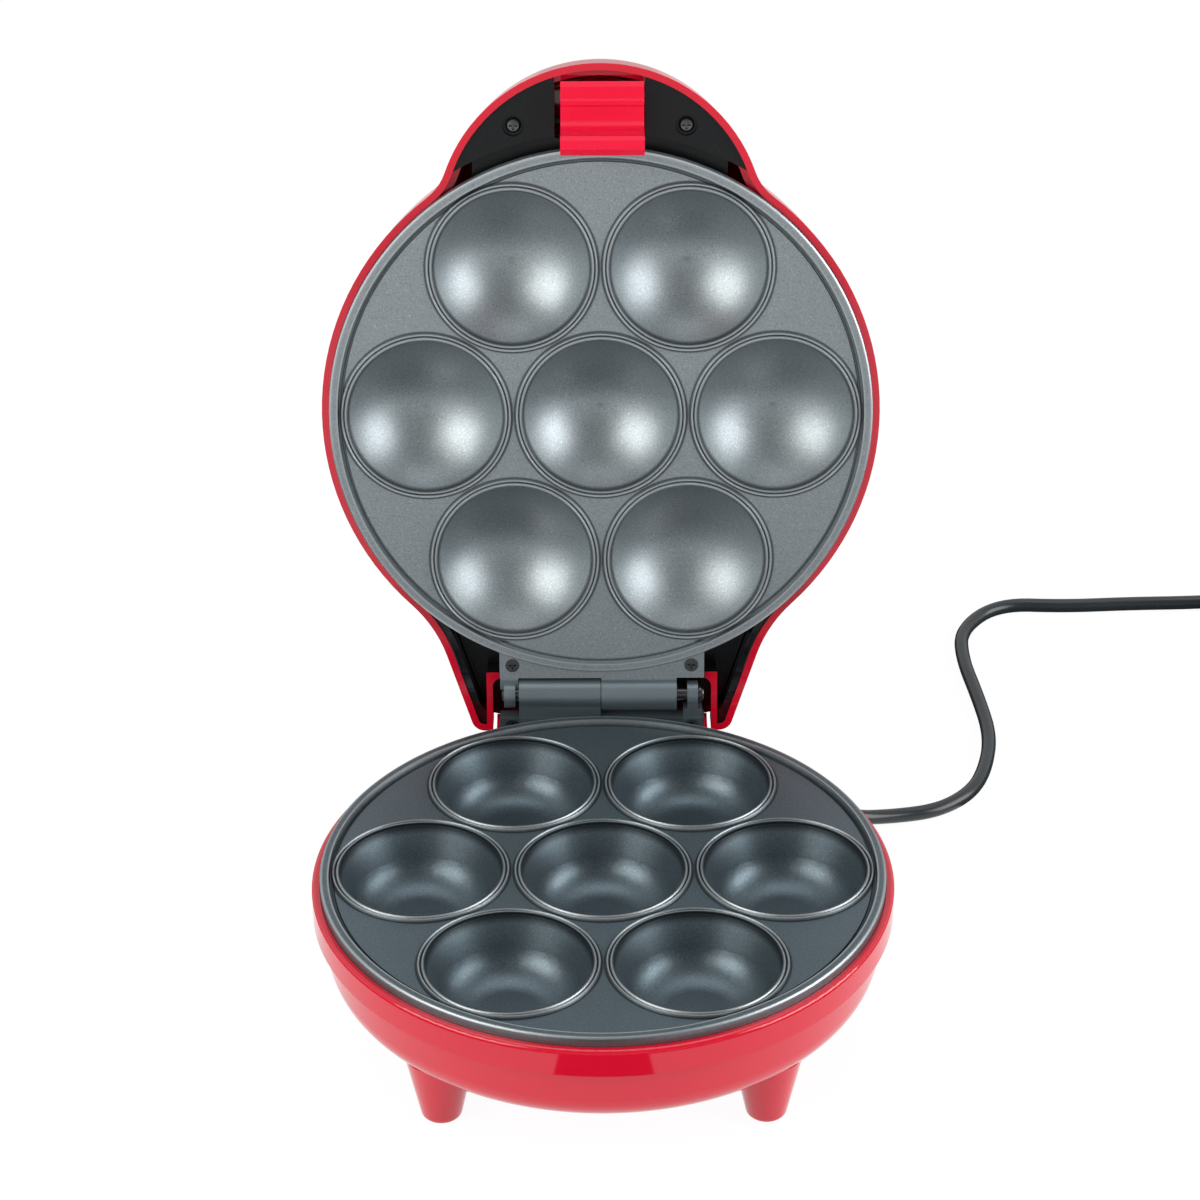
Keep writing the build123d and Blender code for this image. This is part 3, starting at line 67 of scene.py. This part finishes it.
def make_camera():
    """The view of the photograph: a long lens in front, looking down by about 30 degrees."""
    level = Vector((cos(CAMERA_YAW), -sin(CAMERA_YAW), 0))
    ahead = Vector((sin(CAMERA_YAW), cos(CAMERA_YAW), 0)) * cos(CAMERA_PITCH)
    ahead.z = -sin(CAMERA_PITCH)
    above = level.cross(ahead)
    right = level * cos(CAMERA_TIP) + above * sin(CAMERA_TIP)
    up = above * cos(CAMERA_TIP) - level * sin(CAMERA_TIP)
    data = bpy.data.cameras.new("camera")
    data.lens = CAMERA_LENS
    data.sensor_width = SENSOR
    data.sensor_fit = "HORIZONTAL"
    camera = bpy.data.objects.new("camera", data)
    bpy.context.scene.collection.objects.link(camera)
    turn = Matrix((right, up, -ahead)).transposed().to_4x4()
    camera.matrix_world = Matrix.Translation(CAMERA_AT) @ turn
    bpy.context.scene.camera = camera


# Nodes: each helper takes other nodes' outputs or constants, and returns the new node's output


def feed(tree, socket, value):
    """Link a socket to another node's output, or set it to a constant."""
    if isinstance(value, bpy.types.NodeSocket):
        tree.links.new(value, socket)
    else:
        socket.default_value = value


def maths(tree, operation, first, second=None):
    """A maths node on one value or two."""
    node = tree.nodes.new("ShaderNodeMath")
    node.operation = operation
    feed(tree, node.inputs[0], first)
    if second is not None:
        feed(tree, node.inputs[1], second)
    return node.outputs["Value"]


def vector_maths(tree, operation, first, second):
    """A vector maths node: a difference is a vector, a distance or a dot product is a value."""
    node = tree.nodes.new("ShaderNodeVectorMath")
    node.operation = operation
    feed(tree, node.inputs[0], first)
    feed(tree, node.inputs[1], second)
    return node.outputs["Vector" if operation == "SUBTRACT" else "Value"]


def part_of(tree, vector, axis):
    """One of a vector's three values."""
    node = tree.nodes.new("ShaderNodeSeparateXYZ")
    feed(tree, node.inputs["Vector"], vector)
    return node.outputs[axis]


def ramp(tree, value, span, start, end, shape="LINEAR"):
    """A value that runs from start to end as another goes through a span, and holds outside it."""
    node = tree.nodes.new("ShaderNodeMapRange")
    node.interpolation_type = shape
    feed(tree, node.inputs["Value"], value)
    feed(tree, node.inputs["From Min"], span[0])
    feed(tree, node.inputs["From Max"], span[1])
    feed(tree, node.inputs["To Min"], start)
    feed(tree, node.inputs["To Max"], end)
    return node.outputs["Result"]


def blend(tree, share, first, second, kind="RGBA"):
    """The first colour or value where the share is 0, the second where it is 1."""
    node = tree.nodes.new("ShaderNodeMix")
    node.data_type = kind
    feed(tree, node.inputs["Factor"], share)
    feed(tree, node.inputs["A"], first)
    feed(tree, node.inputs["B"], second)
    return node.outputs["Result"]


def line(tree, value, middle, half):
    """One at the middle value, falling to nothing half a width away."""
    off = maths(tree, "ABSOLUTE", maths(tree, "SUBTRACT", value, middle))
    return ramp(tree, off, (0.0, half), 1.0, 0.0)


def most(tree, values):
    """The largest of several values."""
    best = values[0]
    for value in values[1:]:
        best = maths(tree, "MAXIMUM", best, value)
    return best


def own_place(tree):
    """A point's place in its own object, the same in every pose."""
    return tree.nodes.new("ShaderNodeTexCoord").outputs["Object"]


def noise(tree, scale, detail):
    """A noise node over the object; returns the node, whose Fac output runs from 0 to 1."""
    node = tree.nodes.new("ShaderNodeTexNoise")
    feed(tree, node.inputs["Vector"], own_place(tree))
    feed(tree, node.inputs["Scale"], scale)
    feed(tree, node.inputs["Detail"], detail)
    return node


# Node groups that several finishes share: noise details, and the spans of noise that show

GRAIN_DETAIL = 2.0
GRAIN_DEPTH = 0.1 * MM
FLECK_DETAIL = 3.0
FLECK_ROUGHNESS = 0.7
LIGHT_SPAN = (0.55, 0.75)
DARK_SPAN = (0.45, 0.25)
PATCH_SCALE = 25.0
PATCH_DETAIL = 4.0
PATCH_SPAN = (0.35, 0.7)

# The plates' cups, and the middle radius and half width of each groove's painted shade and each
# ridge's painted highlight

CUP_PITCH = 64 * MM
CUPS_AROUND = 6
RING_GROOVE_SHADES = [(28.5 * MM, 0.9 * MM), (30.05 * MM, 0.3 * MM), (31.6 * MM, 0.6 * MM)]
RING_RIDGE_HIGHLIGHTS = [(29.4 * MM, 0.6 * MM), (30.8 * MM, 0.5 * MM)]
RIM_GROOVE_SHADES = [(95.2 * MM, 0.9 * MM)]
RIM_RIDGE_HIGHLIGHTS = [(96.4 * MM, 0.6 * MM), (98.9 * MM, 0.7 * MM)]
KNUCKLE_SPAN = (102.6 * MM, 103.6 * MM)


def new_group(name, inputs, outputs):
    """A shader node group; returns it, the sockets that it is given and the sockets of its result."""
    group = bpy.data.node_groups.new(name, "ShaderNodeTree")
    for labels, side in ((inputs, "INPUT"), (outputs, "OUTPUT")):
        for label, kind in labels.items():
            group.interface.new_socket(label, in_out=side, socket_type="NodeSocket" + kind)
    given = group.nodes.new("NodeGroupInput").outputs
    return group, given, group.nodes.new("NodeGroupOutput").inputs


def make_grain_group():
    """Fine pimples of a coating or a spark-eroded mould, as a normal."""
    group, given, result = new_group(
        "fine_grain", {"Scale": "Float", "Strength": "Float"}, {"Normal": "Vector"}
    )
    bump = group.nodes.new("ShaderNodeBump")
    feed(group, bump.inputs["Height"], noise(group, given["Scale"], GRAIN_DETAIL).outputs["Fac"])
    feed(group, bump.inputs["Distance"], GRAIN_DEPTH)
    feed(group, bump.inputs["Strength"], given["Strength"])
    feed(group, result["Normal"], bump.outputs["Normal"])
    return group


def make_speckle_group():
    """Light and dark flecks of a sprayed coating, as a colour."""
    group, given, result = new_group(
        "speckle",
        {"Colour": "Color", "Fleck": "Color", "Shade": "Color", "Scale": "Float", "Amount": "Float"},
        {"Colour": "Color"},
    )
    fine = noise(group, given["Scale"], FLECK_DETAIL)
    fine.inputs["Roughness"].default_value = FLECK_ROUGHNESS
    colour = given["Colour"]
    for span, layer in ((LIGHT_SPAN, "Fleck"), (DARK_SPAN, "Shade")):
        shown = ramp(group, fine.outputs["Fac"], span, 0.0, 1.0)
        share = maths(group, "MULTIPLY", shown, given["Amount"])
        colour = blend(group, share, colour, given[layer])
    feed(group, result["Colour"], colour)
    return group


def make_patches_group():
    """Broad, faint patches where a surface is a little duller, as a roughness."""
    group, given, result = new_group(
        "handling", {"Clean": "Float", "Dull": "Float"}, {"Roughness": "Float"}
    )
    broad = noise(group, PATCH_SCALE, PATCH_DETAIL).outputs["Fac"]
    feed(group, result["Roughness"], ramp(group, broad, PATCH_SPAN, given["Clean"], given["Dull"]))
    return group


def make_cast_lines_group():
    """Masks of a plate's grooves for painted shade, its ridges for painted highlights, and its hinge
    knuckles, from places on the plate.
    """
    group, given, result = new_group(
        "cast_lines",
        {"Middle": "Vector", "Along": "Vector"},
        {"Groove_shade": "Float", "Ridge_highlight": "Float", "Knuckle": "Float"},
    )
    point = own_place(group)
    offset = vector_maths(group, "SUBTRACT", point, given["Middle"])
    along = vector_maths(group, "DOT_PRODUCT", offset, given["Along"])
    flat = group.nodes.new("ShaderNodeCombineXYZ")
    feed(group, flat.inputs["X"], part_of(group, point, "X"))
    feed(group, flat.inputs["Y"], along)

    def distance(x, y):
        """How far a point is from a place on the plate's face."""
        return vector_maths(group, "DISTANCE", flat.outputs["Vector"], (x, y, 0))

    from_middle = distance(0, 0)
    from_cup = from_middle
    for n in range(CUPS_AROUND):
        turn = 2 * pi * n / CUPS_AROUND
        from_this = distance(CUP_PITCH * cos(turn), CUP_PITCH * sin(turn))
        from_cup = maths(group, "MINIMUM", from_cup, from_this)
    marks = [("Groove_shade", RING_GROOVE_SHADES, RIM_GROOVE_SHADES), ("Ridge_highlight", RING_RIDGE_HIGHLIGHTS, RIM_RIDGE_HIGHLIGHTS)]
    for label, rings, rims in marks:
        lines = [line(group, from_cup, middle, half) for middle, half in rings]
        lines += [line(group, from_middle, middle, half) for middle, half in rims]
        feed(group, result[label], most(group, lines))
    reach = maths(group, "ABSOLUTE", along)
    feed(group, result["Knuckle"], ramp(group, reach, KNUCKLE_SPAN, 0.0, 1.0))
    return group


GRAIN = make_grain_group()
SPECKLE = make_speckle_group()
PATCHES = make_patches_group()
CAST_LINES = make_cast_lines_group()

# Finishes, in linear colours: amount is how far flecks and shade show, clean and dull are
# roughnesses, and grain is the strength of the pimples

CAST_METALLIC = 0.85
CAST_FLECK = 1.9
CAST_SHADE = 0.35
KNUCKLE_TINT = (0.21, 0.26, 0.285)
KNUCKLE_AMOUNT = 1.0
# Painted highlights on the plates' ridges and painted shade in their grooves
RIDGE_HIGHLIGHT_AMOUNT = 0.8
GROOVE_SHADE_DARKER = 0.12
GROOVE_SHADE_AMOUNT = 0.9
METAL_FLECK = 1.3
METAL_SHADE = 0.7
MOULDING_FLECK = 1.35
MOULDING_SHADE = 0.75
MOULDING_LIFT = 0.004
COAT_WEIGHT = 0.25
COAT_ROUGHNESS = 0.03
LENS_CLEARNESS = 0.55
LENS_IOR = 1.49
# Black painted as shade inside the lid's tail
TAIL_SHADE_BLACK = (0.006, 0.006, 0.007)

# The lid shell is painted black as shade where a face of its tail looks back toward the lid's middle:
# spans of how far the face looks back, and of how far along the lid the tail starts

INSIDE_SPAN = (-3.0 * MM, -1.5 * MM)
TAIL_SPAN = (-67 * MM, -66 * MM)


def opaque(colour):
    """A colour with its alpha."""
    return (*colour, 1)


def scaled(colour, factor, lift=0.0):
    """A colour made lighter or darker."""
    return tuple(min(1.0, factor * share + lift) for share in colour)


def new_finish(name):
    """A material with a bare Principled shader."""
    finish = bpy.data.materials.new(name)
    finish.use_nodes = True
    return finish


def shader_inputs(finish):
    """The inputs of a finish's Principled shader."""
    return finish.node_tree.nodes["Principled BSDF"].inputs


def use_group(finish, group, **values):
    """Place a shared group in a finish with its own values; returns the group's outputs."""
    node = finish.node_tree.nodes.new("ShaderNodeGroup")
    node.node_tree = group
    for label, value in values.items():
        node.inputs[label].default_value = value
    return node.outputs


def coated(
    name, colour, fleck, shade, amount, clean, dull, fleck_scale, grain_scale, grain,
    metallic=0.0, specular=0.5,
):
    """A finish with speckled colour, patches of dullness and a fine grain."""
    finish = new_finish(name)
    tree = finish.node_tree
    shader = shader_inputs(finish)
    tints = {"Colour": opaque(colour), "Fleck": opaque(fleck), "Shade": opaque(shade)}
    flecks = use_group(finish, SPECKLE, Scale=fleck_scale, Amount=amount, **tints)
    patches = use_group(finish, PATCHES, Clean=clean, Dull=dull)
    pimples = use_group(finish, GRAIN, Scale=grain_scale, Strength=grain)
    feed(tree, shader["Base Color"], flecks["Colour"])
    feed(tree, shader["Roughness"], patches["Roughness"])
    feed(tree, shader["Normal"], pimples["Normal"])
    feed(tree, shader["Metallic"], metallic)
    feed(tree, shader["Specular IOR Level"], specular)
    return finish


def red_gloss(name):
    """Polished moulded red plastic of the two shells."""
    finish = coated(
        name,
        colour=(0.56, 0.003, 0.023),
        fleck=(0.60, 0.006, 0.03),
        shade=(0.51, 0.002, 0.018),
        amount=0.25,
        clean=0.05,
        dull=0.09,
        fleck_scale=300.0,
        grain_scale=400.0,
        grain=0.0,
    )
    shader_inputs(finish)["Coat Weight"].default_value = COAT_WEIGHT
    shader_inputs(finish)["Coat Roughness"].default_value = COAT_ROUGHNESS
    return finish


def lid_red(name):
    """The shells' red, with painted shade in black on the inside of the tail behind the hinge."""
    finish = red_gloss(name)
    tree = finish.node_tree
    base_colour = shader_inputs(finish)["Base Color"]
    place = tree.nodes.new("ShaderNodeTexCoord").outputs
    offset = vector_maths(tree, "SUBTRACT", place["Object"], LID_MIDDLE)
    facing = vector_maths(tree, "DOT_PRODUCT", offset, place["Normal"])
    along = vector_maths(tree, "DOT_PRODUCT", offset, LID_ALONG)
    inside = ramp(tree, facing, INSIDE_SPAN, 1.0, 0.0)
    tail = ramp(tree, along, TAIL_SPAN, 1.0, 0.0)
    red = base_colour.links[0].from_socket
    shade_share = maths(tree, "MULTIPLY", inside, tail)
    feed(tree, base_colour, blend(tree, shade_share, red, opaque(TAIL_SHADE_BLACK)))
    return finish


def coated_cast(name, tint, ridge_highlight, clean, dull, middle, along):
    """Cast aluminium under a flecked non-stick coat, with painted shade in its grooves and painted
    highlights on its ridges.
    """
    finish = coated(
        name,
        colour=tint,
        fleck=scaled(tint, CAST_FLECK),
        shade=scaled(tint, CAST_SHADE),
        amount=0.65,
        clean=clean,
        dull=dull,
        fleck_scale=1600.0,
        grain_scale=1700.0,
        grain=0.4,
        metallic=CAST_METALLIC,
    )
    tree = finish.node_tree
    base_colour = shader_inputs(finish)["Base Color"]
    colour = base_colour.links[0].from_socket
    masks = use_group(finish, CAST_LINES, Middle=middle, Along=along)
    # Painted highlights on the ridges and painted shade in the grooves, over the coat's flecks
    layers = [
        ("Knuckle", KNUCKLE_TINT, KNUCKLE_AMOUNT),
        ("Ridge_highlight", ridge_highlight, RIDGE_HIGHLIGHT_AMOUNT),
        ("Groove_shade", scaled(tint, GROOVE_SHADE_DARKER), GROOVE_SHADE_AMOUNT),
    ]
    for label, layer, amount in layers:
        share = ramp(tree, masks[label], (0.0, 1.0), 0.0, amount)
        colour = blend(tree, share, colour, opaque(layer))
    feed(tree, base_colour, colour)
    return finish


def plain_metal(name, colour, clean, dull):
    """Bare or dark-plated metal with faint flecks; also the latch pin, painted near black as shade.
    """
    return coated(
        name,
        colour=colour,
        fleck=scaled(colour, METAL_FLECK),
        shade=scaled(colour, METAL_SHADE),
        amount=0.3,
        clean=clean,
        dull=dull,
        fleck_scale=900.0,
        grain_scale=1500.0,
        grain=0.08,
        metallic=1.0,
    )


def plain_moulding(name, colour, clean, dull):
    """A plain plastic, rubber or ceramic moulding with a fine grain."""
    return coated(
        name,
        colour=colour,
        fleck=scaled(colour, MOULDING_FLECK, MOULDING_LIFT),
        shade=scaled(colour, MOULDING_SHADE),
        amount=0.35,
        clean=clean,
        dull=dull,
        fleck_scale=700.0,
        grain_scale=1300.0,
        grain=0.12,
    )


def lens(name, colour):
    """The clear tinted plastic of a lamp's lens, or a lamp's glass."""
    finish = new_finish(name)
    shader = shader_inputs(finish)
    patches = use_group(finish, PATCHES, Clean=0.06, Dull=0.12)
    feed(finish.node_tree, shader["Roughness"], patches["Roughness"])
    shader["Base Color"].default_value = opaque(colour)
    shader["Transmission Weight"].default_value = LENS_CLEARNESS
    shader["IOR"].default_value = LENS_IOR
    return finish


FINISHES = {
    "red_gloss": red_gloss("red_gloss"),
    "lid_red": lid_red("lid_red"),
    "latch_red": coated(
        "latch_red",
        colour=(0.74, 0.006, 0.040),
        fleck=(0.78, 0.010, 0.050),
        shade=(0.68, 0.004, 0.034),
        amount=0.05,
        clean=0.24,
        dull=0.30,
        fleck_scale=900.0,
        grain_scale=900.0,
        grain=0.0,
        specular=0.25,
    ),
    # Both plates carry one blue-grey coat: the lid's lighter tone is painted light and the base's
    # darker, bluer tone painted shade, from how each plate faces the lamps
    "lid_coat_painted_light": coated_cast(
        "lid_coat_painted_light",
        tint=(0.335, 0.383, 0.408),
        ridge_highlight=(0.54, 0.60, 0.63),
        clean=0.40,
        dull=0.46,
        middle=LID_MIDDLE,
        along=LID_ALONG,
    ),
    "base_coat_painted_shade": coated_cast(
        "base_coat_painted_shade",
        tint=(0.113, 0.150, 0.172),
        ridge_highlight=(0.50, 0.53, 0.54),
        clean=0.36,
        dull=0.42,
        middle=BASE_MIDDLE,
        along=BASE_ALONG,
    ),
    "black_satin": coated(
        "black_satin",
        colour=(0.005, 0.006, 0.007),
        fleck=(0.015, 0.016, 0.018),
        shade=(0.003, 0.003, 0.004),
        amount=0.4,
        clean=0.20,
        dull=0.30,
        fleck_scale=800.0,
        grain_scale=1200.0,
        grain=0.12,
        specular=0.3,
    ),
    "dark_screw": plain_metal("dark_screw", (0.15, 0.155, 0.16), clean=0.25, dull=0.36),
    # The steel latch pin is painted near black as the shade in the latch's gap
    "pin_painted_shade": plain_metal("pin_painted_shade", (0.02, 0.02, 0.022), clean=0.40, dull=0.50),
    "plain_steel": plain_metal("plain_steel", (0.55, 0.56, 0.58), clean=0.25, dull=0.40),
    "sheet": plain_metal("sheet", (0.75, 0.76, 0.77), clean=0.28, dull=0.42),
    "pad_rubber": plain_moulding("pad_rubber", (0.03, 0.03, 0.03), clean=0.55, dull=0.7),
    "cord_black": plain_moulding("cord_black", (0.018, 0.024, 0.028), clean=0.22, dull=0.34),
    "ceramic_block": plain_moulding("ceramic_block", (0.75, 0.74, 0.70), clean=0.4, dull=0.55),
    "clear_lens": lens("clear_lens", (0.80, 0.02, 0.015)),
    "green_lens": lens("green_lens", (0.02, 0.5, 0.06)),
    "neon_glass": lens("neon_glass", (0.95, 0.80, 0.70)),
    "pin_brass": plain_metal("pin_brass", (0.75, 0.58, 0.28), clean=0.2, dull=0.3),
}
OWN_FINISH = {
    "lid_plate": "lid_coat_painted_light",
    "base_plate": "base_coat_painted_shade",
    "lid_shell": "lid_red",
    "latch_pin": "pin_painted_shade",
}


def finish_nodes():
    """Give each CAD node the finish of its material slot, or its own."""
    for entry in frame["record"]["subparts"]:
        name = OWN_FINISH.get(entry["node"], entry["material_slot"])
        materials = nodes[entry["node"]].data.materials
        materials.clear()
        materials.append(FINISHES[name])


# The lead: the route's points and the coil of the CAD source, in mm, with y from the bowl's axis

CORD_RADIUS = 2.85
LIE = 2.9
CORD_ROUTE = [
    (64, 99, 34.2),
    (76, 98, 32.5),
    (86, 103, 21),
    (94.5, 112.5, 7),
    (114, 119.8, LIE),
    (131, 124, LIE),
    (144.5, 136.5, LIE),
    (151.5, 154, LIE),
    (155.5, 178, LIE),
    (153, 207, LIE),
    (149.3, 236, LIE),
    (150.5, 260, LIE),
    (168, 281, LIE),
    (196, 279, LIE),
    (224, 281, LIE),
    (248, 281.5, LIE),
    (268, 281.5, 3.9),
]
COIL_INNER = 27.5
COIL_PITCH = 6.2
COIL_TURNS = 3.25
COIL_MIDDLE = 1.5
COIL_CLIMB = 0.5
COIL_X = 296.0
COIL_START_Y = 281.5
COIL_FLOOR = 3.9
COIL_TAIL = 29.0
COIL_STEPS = 16


def coil_point(turn):
    """A point of the coil: in along the floor layer, up a layer, and out again."""
    radius = COIL_INNER + COIL_PITCH * abs(turn - COIL_MIDDLE)
    climb = min(max((turn - COIL_MIDDLE) / COIL_CLIMB + 0.5, 0), 1)
    smooth_climb = climb * climb * (3 - 2 * climb)
    angle = radians(90 - 360 * turn)
    middle_y = COIL_START_Y - COIL_INNER - COIL_PITCH * COIL_MIDDLE
    height = COIL_FLOOR + COIL_PITCH * smooth_climb
    return (COIL_X + radius * cos(angle), middle_y + radius * sin(angle), height)


def lead_points():
    """Every control point of the lead, in metres in the frame."""
    steps = int(COIL_STEPS * COIL_TURNS)
    coil = [coil_point(n / COIL_STEPS) for n in range(steps + 1)]
    x, y, z = coil[-1]
    tail = [(x, y - 0.5 * COIL_TAIL, z), (x, y - COIL_TAIL, z)]
    whole = CORD_ROUTE + coil + tail
    return [Vector((px * MM, py * MM + BOWL_AXIS_Y, pz * MM)) for px, py, pz in whole]


def make_lead():
    """The round lead from the bush to the plug, one smooth spline."""
    points = lead_points()
    curve = bpy.data.curves.new("lead", "CURVE")
    curve.dimensions = "3D"
    spline = curve.splines.new("NURBS")
    spline.points.add(len(points) - 1)
    for control, point in zip(spline.points, points):
        control.co = (*point, 1)
    spline.order_u = 3
    spline.use_endpoint_u = True
    spline.resolution_u = 8
    curve.bevel_depth = CORD_RADIUS * MM
    curve.bevel_resolution = 6
    curve.use_fill_caps = True
    lead = bpy.data.objects.new("lead", curve)
    bpy.context.scene.collection.objects.link(lead)
    curve.materials.append(FINISHES["cord_black"])
    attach(lead, "base")
    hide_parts("power_cord", "cord_coil")


# The floor: FLOOR_GLOW is the share of plain white that the camera sees, and the rest keeps the
# shadow. A reflection sees a lit round table, dark over a stand past STAND_SPAN, and then the room

FLOOR_HALF = 4.0
FLOOR_GLOW = 0.93
FLOOR_WHITE = 1.03
PAPER = (0.95, 0.95, 0.95)
EDGE_BLUR = 0.002
TABLE_SPAN = (0.19, 0.19 + EDGE_BLUR)
STAND_SPAN = (0.15, 0.15 + EDGE_BLUR)
STAND_SIDE_SPAN = (0.037, 0.037 + EDGE_BLUR)
ROOM_SPAN = (0.4, 0.8)
ROOM_NEAR = 0.04
ROOM_FAR = 0.95

# The world: WORLD_FILL lights the object, and the rest is what a reflection sees

WORLD_FILL = 0.55
STUDIO_DARK = 0.20
STUDIO_SPAN = (-0.55, 0.25)
HORIZON_GLOW = 0.8
HORIZON_SPAN = (0.0, 0.32)

# Lamps: name, place and size in metres, power in watts, colour

LAMPS = [
    ("left_softbox", (-1.07, -0.74, 0.82), (1.2, 1.0), 16.0, (1.0, 0.95, 0.90)),
    ("right_softbox", (1.38, -0.30, 0.62), (1.3, 1.0), 20.0, (1.0, 0.98, 0.97)),
    ("top_softbox", (0.0, 0.45, 1.7), (1.2, 1.2), 4.5, (1.0, 1.0, 1.0)),
]
LAMP_AIM = Vector((0, 0.02, 0.14))


def background_rays(tree):
    """Whether the camera sees the background, and whether a reflection or a clear piece does."""
    path = tree.nodes.new("ShaderNodeLightPath").outputs
    mirrored = maths(tree, "MAXIMUM", path["Is Glossy Ray"], path["Is Transmission Ray"])
    return path["Is Camera Ray"], mirrored


def table_light(tree):
    """How bright a reflection sees the floor: the table but for its stand, then the room."""
    place = own_place(tree)
    away = vector_maths(tree, "DISTANCE", place, (0, BOWL_AXIS_Y, 0))
    aside = maths(tree, "ABSOLUTE", part_of(tree, place, "X"))
    table = ramp(tree, away, TABLE_SPAN, 1.0, ROOM_NEAR)
    before = ramp(tree, away, STAND_SPAN, 1.0, ROOM_NEAR)
    beside = ramp(tree, aside, STAND_SIDE_SPAN, ROOM_NEAR, 1.0)
    room = ramp(tree, away, ROOM_SPAN, ROOM_NEAR, ROOM_FAR)
    lit = maths(tree, "MINIMUM", table, maths(tree, "MAXIMUM", before, beside))
    return maths(tree, "MAXIMUM", room, lit)


def mix_shaders(tree, share, first, second):
    """The first shader where the share is 0, the second where it is 1."""
    node = tree.nodes.new("ShaderNodeMixShader")
    for socket, value in zip(node.inputs, (share, first, second)):
        feed(tree, socket, value)
    return node.outputs["Shader"]


def make_floor():
    """A white floor that keeps the object's soft shadow."""
    mesh = bpy.data.meshes.new("floor")
    corners = [(x * FLOOR_HALF, y * FLOOR_HALF, 0) for x, y in ((-1, -1), (1, -1), (1, 1), (-1, 1))]
    mesh.from_pydata(corners, [], [(0, 1, 2, 3)])
    floor = bpy.data.objects.new("floor", mesh)
    bpy.context.scene.collection.objects.link(floor)
    paper = bpy.data.materials.new("white_paper")
    paper.use_nodes = True
    tree = paper.node_tree
    tree.nodes.clear()
    camera, reflection = background_rays(tree)
    lit = tree.nodes.new("ShaderNodeBsdfDiffuse")
    lit.inputs["Color"].default_value = opaque(PAPER)
    white = tree.nodes.new("ShaderNodeEmission")
    white.inputs["Strength"].default_value = FLOOR_WHITE
    mirrored = tree.nodes.new("ShaderNodeEmission")
    feed(tree, mirrored.inputs["Strength"], table_light(tree))
    white_share = maths(tree, "MULTIPLY", camera, FLOOR_GLOW)
    seen = mix_shaders(tree, white_share, lit.outputs["BSDF"], white.outputs["Emission"])
    whole = mix_shaders(tree, reflection, seen, mirrored.outputs["Emission"])
    feed(tree, tree.nodes.new("ShaderNodeOutputMaterial").inputs["Surface"], whole)
    mesh.materials.append(paper)


def make_world():
    """A white studio whose side behind the camera is dim to reflections above a pale horizon."""
    world = bpy.data.worlds.new("studio")
    bpy.context.scene.world = world
    world.use_nodes = True
    tree = world.node_tree
    tree.nodes.clear()
    camera, reflection = background_rays(tree)
    way = tree.nodes.new("ShaderNodeTexCoord").outputs["Generated"]
    behind = ramp(tree, part_of(tree, way, "Z"), HORIZON_SPAN, HORIZON_GLOW, STUDIO_DARK)
    studio = ramp(tree, part_of(tree, way, "Y"), STUDIO_SPAN, behind, 1.0, "SMOOTHSTEP")
    seen = blend(tree, camera, studio, 1.0, "FLOAT")
    either = maths(tree, "MAXIMUM", camera, reflection)
    sky = tree.nodes.new("ShaderNodeBackground")
    feed(tree, sky.inputs["Strength"], blend(tree, either, WORLD_FILL, seen, "FLOAT"))
    feed(tree, tree.nodes.new("ShaderNodeOutputWorld").inputs["Surface"], sky.outputs["Background"])


def make_lamps():
    """A soft box on each side and one overhead, all aimed at the appliance's middle."""
    for name, place, size, power, colour in LAMPS:
        data = bpy.data.lights.new(name, "AREA")
        data.shape = "RECTANGLE"
        data.size, data.size_y = size
        data.energy = power
        data.color = colour
        lamp = bpy.data.objects.new(name, data)
        bpy.context.scene.collection.objects.link(lamp)
        lamp.location = place
        lamp.rotation_euler = (LAMP_AIM - Vector(place)).to_track_quat("-Z", "Y").to_euler()


bpy.context.scene.view_settings.view_transform = "Standard"
make_camera()
finish_nodes()
make_lead()
make_floor()
make_world()
make_lamps()
